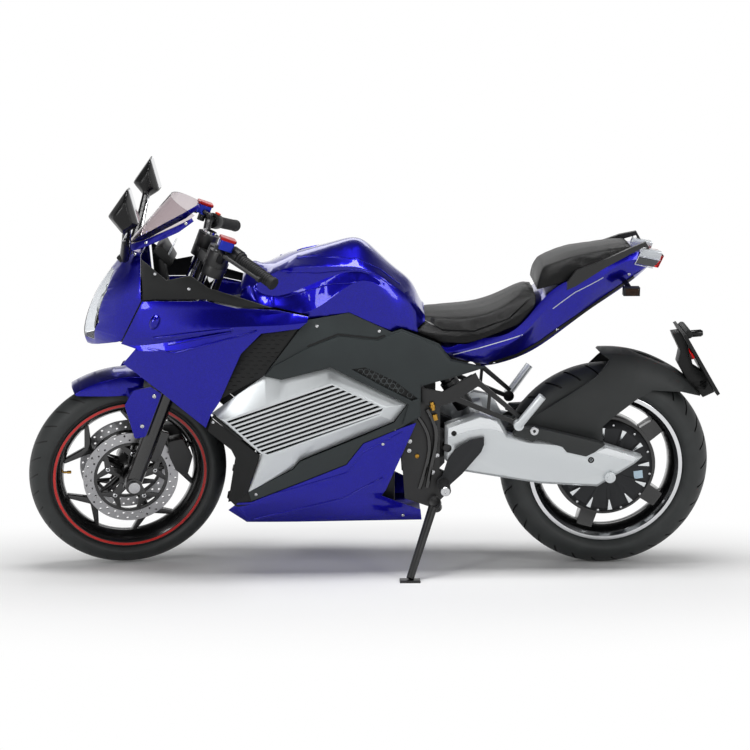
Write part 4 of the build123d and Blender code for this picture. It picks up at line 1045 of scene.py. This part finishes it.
# %% Hub motor wedges, bolts and label
polished = coated("polished_aluminium", "#DDE0E2", 0.20, 1.0, 3.0, 0.00005)
foil = coated("foil_label", "#B7CEDC", 0.30, 0.4, 6.0, 0.00005)
wedge = plate([(-7.0, 126), (7.0, 126), (1.2, 94), (-1.2, 94)], 58.0, 66.2, 0.6)
wedges = both_sides(copies(wedge, evenly(12, 7.0)))
finish_piece(wedges, "hub_motor_wedges", polished, "rear_wheel", REAR_WHEEL)
hub_bolts = copies(screw(4.0), round_about(12, 131.0, 53.0, 22.0))
finish_piece(both_sides(hub_bolts), "hub_motor_bolts", zinc, "rear_wheel", REAR_WHEEL)
label = block((-95, 62.2, -18), (26, 1.0, 24), (0, 8, 0), 0.3)
finish_piece(label, "hub_motor_label", foil, "rear_wheel", REAR_WHEEL)
print("hub motor dressed")

# %% Swingarm shoulder, tip facet and hugger foot
SHOULDER = [(468, 428), (435, 440), (399, 450), (364, 454), (331, 450), (308, 440), (322, 466), (350, 483),
            (378, 487), (422, 472), (457, 460), (468, 456)]
TIP = [(12, 395), (-72, 367), (-68, 352), (44, 382)]
HUGGER_FOOT = [(283, 437), (227, 414), (209, 421), (140, 398), (127, 382), (71, 369), (47, 381), (17, 404),
               (48, 414), (216, 456), (270, 453)]
bright = joined(*[plate(outline, 134.0, 136.4, 1.0) for outline in (SHOULDER, TIP)])
fit_pair(bright, "swingarm_polished_facets", polished)
fit_pair(plate(HUGGER_FOOT, 112.0, 138.6, 2.0), "hugger_feet", hugger_abs)
washer = lathe([(4.0, 0.0), (12.5, 0.0), (12.5, 3.0), (11.0, 4.4), (5.2, 4.4), (4.0, 3.4)], 28)
ring = lathe([(4.6, 0.0), (9.0, 0.0), (9.0, 0.5), (8.4, 1.0), (5.0, 1.0)], 28)
fit_pair(settle(washer, Matrix.Translation((222, 138.0, 447))), "hugger_washers", zinc)
fit_pair(settle(ring, Matrix.Translation((56, 135.0, 358))), "spool_hole_rings", gloss_abs)
print("swingarm dressed")

# %% [markdown]
# ## Frame, pegs and hangers
#
# Two bent tubes run down each frame plate, glossy black, with a brass fitting at the top of the rear one.
# Zinc bolts hold the hangers, the rider's pegs end in a bright knurled cap, and each peg wears a ribbed
# rubber.

# %% Frame tubes and fittings
gloss_tube = coated("gloss_black_tube", "#0A0A0B", 0.16, 0.0, 6.0, 0.00005, 0.7)
FRONT_TUBE = [(558, 145, 495), (532, 145, 462), (519, 145, 402), (535, 145, 327), (550, 145, 278)]
REAR_TUBE = [(530, 145, 515), (508, 146, 477), (501, 146, 420), (516, 146, 349), (528, 146, 282)]
PEG = Vector((480, 0, 296))
fit_pair(joined(tube(FRONT_TUBE, 6.5), tube(REAR_TUBE, 6.5)), "frame_tubes", gloss_tube)
fittings = joined(bar((518, 146, 537), (512, 146, 513), 6.5), bar((516, 146, 529), (514, 146, 521), 9.0),
                  bar((509, 146, 501), (505, 146, 484), 8.0))
fit_pair(fittings, "frame_brass_fittings", brass)
knurl = lathe([(0.0, -1.0), (12.5, -1.0), (13.5, 0.6), (12.5, 2.0), (9.5, 3.0), (5.0, 3.0), (4.0, 1.4),
               (0.0, 1.4)], 20)
fit_pair(settle(knurl, Matrix.Translation(PEG + Vector((0, 228.0, 0)))), "peg_end_caps", zinc)
rubber_peg = lathe([(13.6, 0.0), *ribs(9, 1.0, 7.6, 16.2, 14.6), (13.6, 70.0)], 28)
fit_pair(settle(rubber_peg, Matrix.Translation(PEG + Vector((0, 155.0, 0)))), "peg_rubbers", grip_rubber)
hanger_block = plate([(470, 572), (402, 612), (388, 588), (452, 546)], 116.0, 137.8, 3.0)
fit_pair(hanger_block, "hanger_rubber_blocks", black_abs)
print("frame dressed")

# %% [markdown]
# ## Tail and number plate bracket
#
# Thin silver stripes follow two creases of the tail, and a black moulding closes its lower edge. The
# bracket behind the wheel has a moulded arm, a small lamp pointing back and a red reflector on each side.
# Amber lenses close the ends of the indicators.

# %% Tail stripes and lower moulding
pin_silver = coated("silver_pinstripe", "#C9CCD6", 0.34, 0.6, 3.0, 0.00005)
STRIPES = [
    # node, line of (x, z), width in mm
    ("tail_cowl", [(484, 686), (472, 671), (360, 702), (262, 730)], 2.4),
    ("tail_cowl", [(176, 800), (115, 848), (36, 889)], 2.4),
]
HEM = ("tail_cowl", [(352, 639), (270, 662), (206, 696), (152, 736), (20, 828), (-58, 881)], 9.0)
finish_piece(ribbons(STRIPES), "tail_pinstripes", pin_silver, "chassis")
finish_piece(ribbons([HEM], 0.8, 2.0), "tail_hem", black_abs, "chassis")
print("tail dressed")

# %% Number plate bracket
ARM = [(-184, 704), (-231, 710), (-234, 691), (-227, 678), (-249, 606), (-284, 584), (-300, 558), (-287, 533),
       (-224, 545), (-229, 571), (-204, 615), (-210, 650), (-200, 671), (-190, 690)]
finish_piece(plate(ARM, -24.0, 24.0, 2.0), "plate_bracket_arm", black_abs, "chassis", UPRIGHT)
plate_lamp = joined(bar((-230, 0, 697), (-272, 0, 700), 10.5), bar((-262, 0, 699.4), (-276, 0, 700.2), 8.0))
finish_piece(plate_lamp, "plate_lamp", gloss_abs, "chassis", UPRIGHT)
fit_pair(bar((-243, 23.5, 637), (-243, 27.0, 637), 10.0), "plate_reflectors", red_lens)
fit_pair(block((-46, 126, 850), (38, 4, 18), (0, 0, 0), 1.5), "rear_indicator_lenses", amber_lens)
print("bracket dressed")

# %% [markdown]
# ## Cockpit
#
# The mirrors are rounded mouldings, so their shells come from a remesh that melts the edges, with the glass
# set in the rear face. The dash carries one blank pale display, and a small indicator sits on each flank.

# %% Mirror housings
MIRROR_VOXEL = 4.0
mirror_shell = copy_of("mirrors")
mirror_shell.data.remesh_voxel_size = MIRROR_VOXEL * MM
bpy.ops.object.voxel_remesh()
apply(mirror_shell, "SMOOTH", factor=0.5, iterations=22)
smooth(mirror_shell, 60)
bpy.data.objects.remove(shells.pop("mirrors"))
finish_piece(mirror_shell, "mirror_housings", gloss_abs, "chassis")
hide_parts("mirrors")
print("mirrors moulded", len(mirror_shell.data.polygons), "faces")

# %% Mirror glasses and bases
GLASS_EDGE, GLASS_LIFT, GLASS_T = 7.0, 0.8, 2.4
# a face belongs to the glass if it looks back this squarely
SQUARELY = 0.93
# the glasses look back and a little up
BACKWARDS = (UPRIGHT.to_3x3() @ Vector((-0.969, 0, 0.247))).normalized()
glass = copy_of("mirrors")
for face in glass.data.polygons:
    face.select = face.normal.dot(BACKWARDS) < SQUARELY
bpy.ops.object.mode_set(mode="EDIT")
bpy.ops.mesh.select_mode(type="FACE")
bpy.ops.mesh.delete(type="FACE")
bpy.ops.mesh.select_all(action="SELECT")
bpy.ops.mesh.dissolve_limited(angle_limit=math.radians(2.0))
bpy.ops.mesh.select_all(action="SELECT")
bpy.ops.mesh.inset(thickness=GLASS_EDGE * MM)
bpy.ops.mesh.select_all(action="INVERT")
bpy.ops.mesh.delete(type="FACE")
bpy.ops.object.mode_set(mode="OBJECT")
settle(glass, Matrix.Translation(BACKWARDS * GLASS_LIFT * MM))
apply(glass, "SOLIDIFY", thickness=GLASS_T * MM, offset=0.0)
finish_piece(glass, "mirror_glasses", chrome, "chassis")
bases = joined(block((1376, 105, 956), (44, 30, 20), (0, 38, 0), 4.0),
               bar((1386, 121, 950), (1386, 124, 950), 6.0), bar((1366, 121, 964), (1366, 124, 964), 6.0))
fit_pair(bases, "mirror_bases", gloss_abs)
print("mirror glasses set")

# %% Instrument face and side indicators
pale_screen = coated("blank_pale_display", "#B9BDBE", 0.28, 0.0, 6.0, 0.00005, 0.4)
face = block((1256.0, 0, 952.5), (5.0, 128, 44), (0, -28.3, 0), 1.5)
finish_piece(face, "instrument_display", pale_screen, "chassis", UPRIGHT)
places = [seat_on("side_fairings", 1290, 782, side, 2.0) @ spun(-20) for side in (1, -1)]
finish_piece(copies(pebble((14, 15, 22), 24), places), "side_indicators", blue, "chassis")
print("instrument and indicators set")

# %% [markdown]
# ### Headlamp
#
# Behind the clear lens sit two round lamps in bright bezels, with a row of small running lights above them.
# They are turned on the lathe, and a ray from ahead finds where each one sits on the dark lamp body.

# %% Lamps behind the lens
lamp_glass = coated("projector_lamp_glass", "#9AA6B2", 0.06, 0.0, 20.0, 0.00001, 1.0)
LAMP_Y, LAMP_Z = 37.0, 790.0
LIGHT_STEP, LIGHT_Z = 17.0, 842.0
FAR_AHEAD = 2000.0


def on_lamp_body(y, z):
    """Matrix that stands a piece on the lamp body, found from ahead."""
    return stood(*ray_hit("headlamp_unit", (FAR_AHEAD, y, z), (-1, 0, 0)))


spots = [on_lamp_body(y, LAMP_Z) for y in (LAMP_Y, -LAMP_Y)]
bezel = lathe([(22.0, -2.0), (31.0, -2.0), (31.0, 7.0), (29.5, 9.0), (27.5, 9.0), (22.0, 2.0)])
finish_piece(copies(bezel, spots), "headlamp_bezels", chrome, "chassis")
bowl = lathe([(0.0, -2.0), (22.4, -2.0), (22.4, 2.0), (19.0, 7.0), (11.0, 11.0), (0.0, 12.5)])
finish_piece(copies(bowl, spots), "headlamp_bowls", lamp_glass, "chassis")
spots = [on_lamp_body(LIGHT_STEP * i, LIGHT_Z) for i in range(-3, 4)]
light = lathe([(0.0, -2.0), (6.0, -2.0), (6.0, 2.0), (4.0, 4.0), (0.0, 4.8)], 24)
finish_piece(copies(light, spots), "running_lights", lamp_glass, "chassis")
print("headlamp filled")

# %% [markdown]
# ### Grips and switches
#
# The grips are turned with ribs and an end plug. Round them sit the small controls: a red stop switch on the
# right, buttons on the left, and short fittings on the reservoirs. They are placed in a frame that leans back
# with the fork and turns with it.

# %% Grips
RAKE = math.radians(21.5)
STEERING = TURNED @ Matrix.Translation(STEER_AT) @ Matrix.Rotation(-RAKE, 4, "Y")
GRIP_IN, GRIP_OUT = Vector((-5.0, 200.0, 749.0)), Vector((-87.0, 300.0, 735.0))
grip_way = (GRIP_OUT - GRIP_IN).normalized()
grip_long = (GRIP_OUT - GRIP_IN).length
section = [(11.4, 0.0), (20.5, 0.0), (21.5, 1.5), (21.5, 5.5), (20.5, 7.0), (16.5, 8.0),
           *ribs(15, 12.0, 7.2, 16.8, 15.2),
           (17.8, grip_long - 3), (18.0, grip_long + 4), (16.0, grip_long + 6), (0.0, grip_long + 6),
           (0.0, grip_long + 1), (11.4, grip_long + 1)]
turn = grip_way.to_track_quat("Y", "Z").to_matrix().to_4x4()
grips = both_sides(settle(lathe(section, 32), Matrix.Translation(GRIP_IN) @ turn))
finish_piece(grips, "ribbed_grips", grip_rubber, "steering", STEERING)
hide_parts("grips")
print("grips turned,", round(grip_long), "mm long")

# %% Switches and fittings
POD = GRIP_IN - grip_way * 18
stop_switch = block(POD + Vector((-4, 0, 24)) - Vector((0, 2 * POD.y, 0)), (10, 16, 7), (0, 0, 39), 2.0)
orange = coated("orange_red_switch", "#D8401C", 0.36, 0.0, 3.0, 0.0001)
finish_piece(stop_switch, "stop_switch", orange, "steering", STEERING)
buttons = joined(block(POD + Vector((-20, -4, 12)), (6, 12, 9), (0, 30, -39), 1.5),
                 block(POD + Vector((-24, -6, -3)), (6, 9, 7), (0, 0, -39), 1.5))
finish_piece(buttons, "left_buttons", blue_anodised, "steering", STEERING)
fit = [bar((46, 178, 770), (30, 160, 768), 6.0), bar((34, 165, 768), (26, 156, 767), 9.0),
       bar((60, 197, 762), (72, 200, 760), 7.0), bar((20, 176, 748), (44, 196, 768), 7.0)]
finish_piece(both_sides(joined(*fit)), "hose_fittings", black_coat, "steering", STEERING)
print("switches set")

# %% [markdown]
# ## Front wheel casting and brake carriers
#
# The cast front wheel has five spokes that fork close to the rim, each a flat plate with rounded edges,
# between a turned rim and a turned hub. In front of it, on each side, a black carrier holds the brake band:
# five arms that fork towards the band, each with one bright bolt. The wheel and the carriers are one
# casting's colour, so they are one piece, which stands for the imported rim.

# %% Front wheel casting
SPOKE = [(-12, 26), (-8.5, 130), (-69, 178), (-61, 187), (0, 151), (61, 187), (69, 178), (8.5, 130), (12, 26)]
CARRIER = [(-13, 28), (-11, 66), (-40, 92), (-34, 100), (0, 82), (34, 100), (40, 92), (11, 66), (13, 28)]
RIM = [(225, 42), (225, 36), (212, 36), (208, 19.8), (198, 10.8)]
RIM_INSIDE = [(214, 42), (203, 30.6), (191, 10.8)]
outer = RIM + [(r, -y) for r, y in reversed(RIM)]
inner = [(r, -y) for r, y in RIM_INSIDE] + RIM_INSIDE[::-1]
hub = lathe([(10.4, -54), (34, -54), (34, -34), (27, -24), (27, 24), (34, 34), (34, 54), (10.4, 54)], 48)
spokes = copies(plate(SPOKE, -10.0, 10.0, 3.5), evenly(5, 57.0))
arms = both_sides(copies(plate(CARRIER, 48.0, 54.0, 1.2), evenly(5, 66.0)))
bands_held = both_sides(lathe([(99, 48.2), (107.9, 48.2), (107.9, 53.8), (99, 53.8)], 72))
casting = joined(lathe(outer + inner, 96), hub, spokes, arms, bands_held)
bpy.data.objects.remove(shells.pop("front_rim"))
finish_piece(casting, "front_wheel_casting", wheel_coat, "front_wheel", FRONT_WHEEL)
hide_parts("front_rim")
valve = joined(bar((0, 0, 197), (0, 0, 172), 3.4), bar((0, 0, 180), (0, 0, 168), 4.6))
settle(valve, spun(87))
finish_piece(valve, "front_valve", brass, "front_wheel", FRONT_WHEEL)
print("front wheel cast", len(casting.data.polygons), "faces")

# %% [markdown]
# ## Fairing blades and closing panels
#
# Three thin blades fan out over the flank of the fairing and catch the light along their upper edges.
# Behind the seam between nose and fairing lies a dark closing panel, so no light shows through; its black is
# painted shade, the dark band of the recess under the nose. The tail lamp wraps round the tail's flanks: a
# pale upper half and a dark lower half in a silver frame.

# %% Blades and closing panels
BLADES = [
    # node, line of (x, z), width in mm
    ("side_fairings", [(1296, 736), (1193, 752), (1072, 767)], 9.0),
    ("side_fairings", [(1255, 719), (1160, 740), (1078, 757)], 7.0),
    ("side_fairings", [(1312, 706), (1236, 697), (1112, 731), (1006, 758)], 6.0),
]
finish_piece(ribbons(BLADES, 1.5, 5.0, edge=1.8), "fairing_blades", blue, "chassis")
reach = min(flank("nose_cowl", 1398, 735), flank("side_fairings", 1364, 735)) - 6
# painted shade: a black panel set in the seam stands for the shade of the recess under the nose
seam = plate([(1312, 842), (1378, 708), (1404, 716), (1342, 846)], reach - 40, reach, 1.0)
fit_pair(seam, "nose_seam_shade_panels", gloss_abs)
print("blades and seam panels set", round(reach, 1))

# %% Tail lamp sides
lamp_white = coated("pale_lamp_reflector", "#C8CDD2", 0.22, 0.3, 4.0, 0.0003, 0.8)
lamp_dark = coated("dark_lamp_reflector", "#33373B", 0.20, 0.3, 4.0, 0.0003, 0.8)
LAMP_FRAME = [((-55, 922), (-77, 969)), ((-65, 945), (-127, 933)), ((-55, 922), (-106, 911))]
LAMP_DEEP = 26.0
tail_y = flank("tail_cowl", -66, 935)
upper = plate([(-66, 946), (-78, 967), (-132, 956), (-126, 934)], tail_y - LAMP_DEEP, tail_y + 1.5, 2.0)
lower = plate([(-56, 925), (-65, 943), (-125, 931), (-107, 913)], tail_y - LAMP_DEEP, tail_y + 1.0, 2.0)
fit_pair(upper, "tail_lamp_upper_sides", lamp_white)
fit_pair(lower, "tail_lamp_lower_sides", lamp_dark)
frames = [bar((x0, tail_y + 1.0, z0), (x1, tail_y + 1.0, z1), 1.6, sides=8)
          for (x0, z0), (x1, z1) in LAMP_FRAME]
fit_pair(joined(*frames), "tail_lamp_frames", pin_silver)
print("tail lamp sides set", round(tail_y, 1))

# %% [markdown]
# ## Creases, seams and fillers
#
# Sharp folds in the blue panels catch a thin line of light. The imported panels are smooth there, so a narrow
# strip of the same lacquer with rounded edges is laid along each fold: two on the belly pan, three on the
# tank. A seam runs along the flank of the rider's seat. Black fillers close the foot of the duct and the
# front edge of the grille.

# %% Creases on tank and belly pan
CREASES = [
    # node, line of (x, z), width in mm
    ("belly_pan", [(1000, 258), (758, 332), (713, 395), (600, 455)], 5.0),
    ("belly_pan", [(1030, 181), (773, 250), (656, 314)], 5.0),
    ("tank_cover", [(950, 929), (839, 948), (725, 945), (663, 913), (606, 866)], 3.0),
    ("tank_cover", [(950, 913), (839, 906), (725, 919), (681, 907), (620, 862)], 3.0),
    ("tank_cover", [(936, 836), (795, 880), (728, 886)], 3.0),
]
finish_piece(ribbons(CREASES, 0.6, 2.6, 10.0, 1.0), "panel_creases", blue, "chassis")
print(len(CREASES), "creases laid on each side")

# %% Seat seam and fillers
SEAT_SEAM = ("rider_seat", [(566, 772), (486, 741), (397, 741), (300, 776), (240, 826)], 3.0)
DUCT_FOOT = [(1104, 256), (1034, 280), (1022, 236), (1076, 226)]
# the seam lies on the swollen cushion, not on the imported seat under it
trees["rider_seat"] = tree_of(bpy.data.objects["rider_seat_cushion"].data)
finish_piece(ribbons([SEAT_SEAM], 0.3, 1.6, 8.0), "rider_seat_seams", gloss_abs, "chassis")
fit_pair(plate(DUCT_FOOT, 96.0, flank("duct_panels", 1090, 275) - 4, 2.0), "duct_feet", black_abs)
edge_ends = [(x, flank("grille_panels", x - 8, z + 1) - 2, z) for x, z in ((1136, 506), (1056, 437))]
fit_pair(bar(*edge_ends, 6.0), "grille_front_edges", black_abs)
print("seams and fillers set")

# %% [markdown]
# ## Studio
#
# A pale floor runs far back, and broad soft lamps stand overhead and at both sides, as for a catalogue
# photograph. The lamps light the machine at a plain level. Away from the machine the floor turns into a
# white that is only for the camera, for glossy and for transmitted rays, and the world behind it does the
# same, so the picture ends in white paper while the floor under the wheels still takes the shadow.

# %% Floor
def for_the_eye(tree):
    """One for camera, glossy and transmitted rays, and nought for the rest."""
    rays = add(tree, "ShaderNodeLightPath")
    some = add(tree, "ShaderNodeMath",
               [(rays.outputs["Is Camera Ray"], 0), (rays.outputs["Is Glossy Ray"], 1)], operation="MAXIMUM")
    return add(tree, "ShaderNodeMath", [(some.outputs[0], 0), (rays.outputs["Is Transmission Ray"], 1)],
               operation="MAXIMUM").outputs[0]


clear_selection()
bpy.ops.mesh.primitive_plane_add(size=60, location=(0, 0, 0))
floor = bpy.context.object
floor.name = "studio_floor"
floor_paint, tree, shader, place = new_finish("matt_white_floor", "#EDEDED", Roughness=0.9)
squeezed = add(tree, "ShaderNodeVectorMath", [(place, 0)], operation="MULTIPLY")
squeezed.inputs[1].default_value = (0.5, 1.0, 1.0)
away = add(tree, "ShaderNodeVectorMath", [(squeezed.outputs["Vector"], 0)], operation="LENGTH")
fade = add(tree, "ShaderNodeMapRange", [(away.outputs["Value"], "Value")], interpolation_type="SMOOTHSTEP",
           From_Min=0.3, From_Max=1.0)
share = add(tree, "ShaderNodeMath", [(fade.outputs["Result"], 0), (for_the_eye(tree), 1)],
            operation="MULTIPLY")
paper = add(tree, "ShaderNodeEmission", Strength=1.0)
both = add(tree, "ShaderNodeMixShader",
           [(share.outputs[0], 0), (shader.outputs[0], 1), (paper.outputs[0], 2)])
tree.links.new(both.outputs[0], tree.nodes["Material Output"].inputs["Surface"])
floor.data.materials.append(floor_paint)
print("floor ready")

# %% World
world = bpy.data.worlds.new("studio_air")
bpy.context.scene.world = world
world.use_nodes = True
tree = world.node_tree
air = tree.nodes["Background"]
air.inputs["Color"].default_value = (1.0, 1.0, 1.0, 1.0)
way = add(tree, "ShaderNodeSeparateXYZ", [(add(tree, "ShaderNodeTexCoord").outputs["Generated"], 0)])
wall = add(tree, "ShaderNodeMapRange", [(way.outputs["Z"], "Value")], interpolation_type="SMOOTHSTEP",
           From_Min=0.14, From_Max=0.48, To_Min=1.0, To_Max=0.08)
# what the air adds to matt surfaces
AIR_FILL = 0.12
strength = add(tree, "ShaderNodeMix", [(for_the_eye(tree), 0), (wall.outputs["Result"], 3)])
strength.inputs[2].default_value = AIR_FILL
tree.links.new(strength.outputs[0], air.inputs["Strength"])
print("world ready")

# %% Soft lamps
# name: (place in m, aimed at, width, depth, watts)
LAMPS = {
    "overhead": ((0.0, 0.4, 3.2), (0, 0, 0.5), 2.6, 0.7, 90),
    "front_left": ((2.6, 3.2, 2.2), (0.3, 0, 0.6), 0.7, 2.0, 40),
    "rear_left": ((-2.8, 3.0, 2.0), (-0.3, 0, 0.6), 0.7, 2.0, 32),
    "far_side": ((0.0, -3.2, 2.6), (0, 0, 0.6), 3.0, 0.8, 16),
}
for name, (spot, aim, width, depth, watts) in LAMPS.items():
    lamp = bpy.data.lights.new(name, "AREA")
    lamp.shape = "RECTANGLE"
    lamp.size = width
    lamp.size_y = depth
    lamp.energy = watts
    holder = bpy.data.objects.new(name, lamp)
    bpy.context.scene.collection.objects.link(holder)
    holder.location = spot
    holder.rotation_euler = (Vector(aim) - Vector(spot)).to_track_quat("-Z", "Y").to_euler()
print(len(LAMPS), "lamps")

# %% [markdown]
# ## Camera
#
# The photograph was taken from the machine's left, a little above the grips, with a long lens, so wheels
# keep their round shape. The camera stands where lines through known sizes of the machine meet.

# %% Camera
CAMERA_AT = Vector((0.09005, 4.98145, 1.09347))
CAMERA_AIM = Vector((-0.01020, -0.17371, 0.55963))
lens = bpy.data.cameras.new("catalogue_camera")
lens.sensor_fit = "HORIZONTAL"
lens.sensor_width = 36.0
lens.lens = 83.9
camera = bpy.data.objects.new("catalogue_camera", lens)
bpy.context.scene.collection.objects.link(camera)
camera.location = CAMERA_AT
camera.rotation_euler = (CAMERA_AIM - CAMERA_AT).to_track_quat("-Z", "Y").to_euler()
bpy.context.scene.camera = camera
bpy.context.scene.view_settings.view_transform = "Standard"
print("camera", round((CAMERA_AIM - CAMERA_AT).length, 2), "m from the machine")
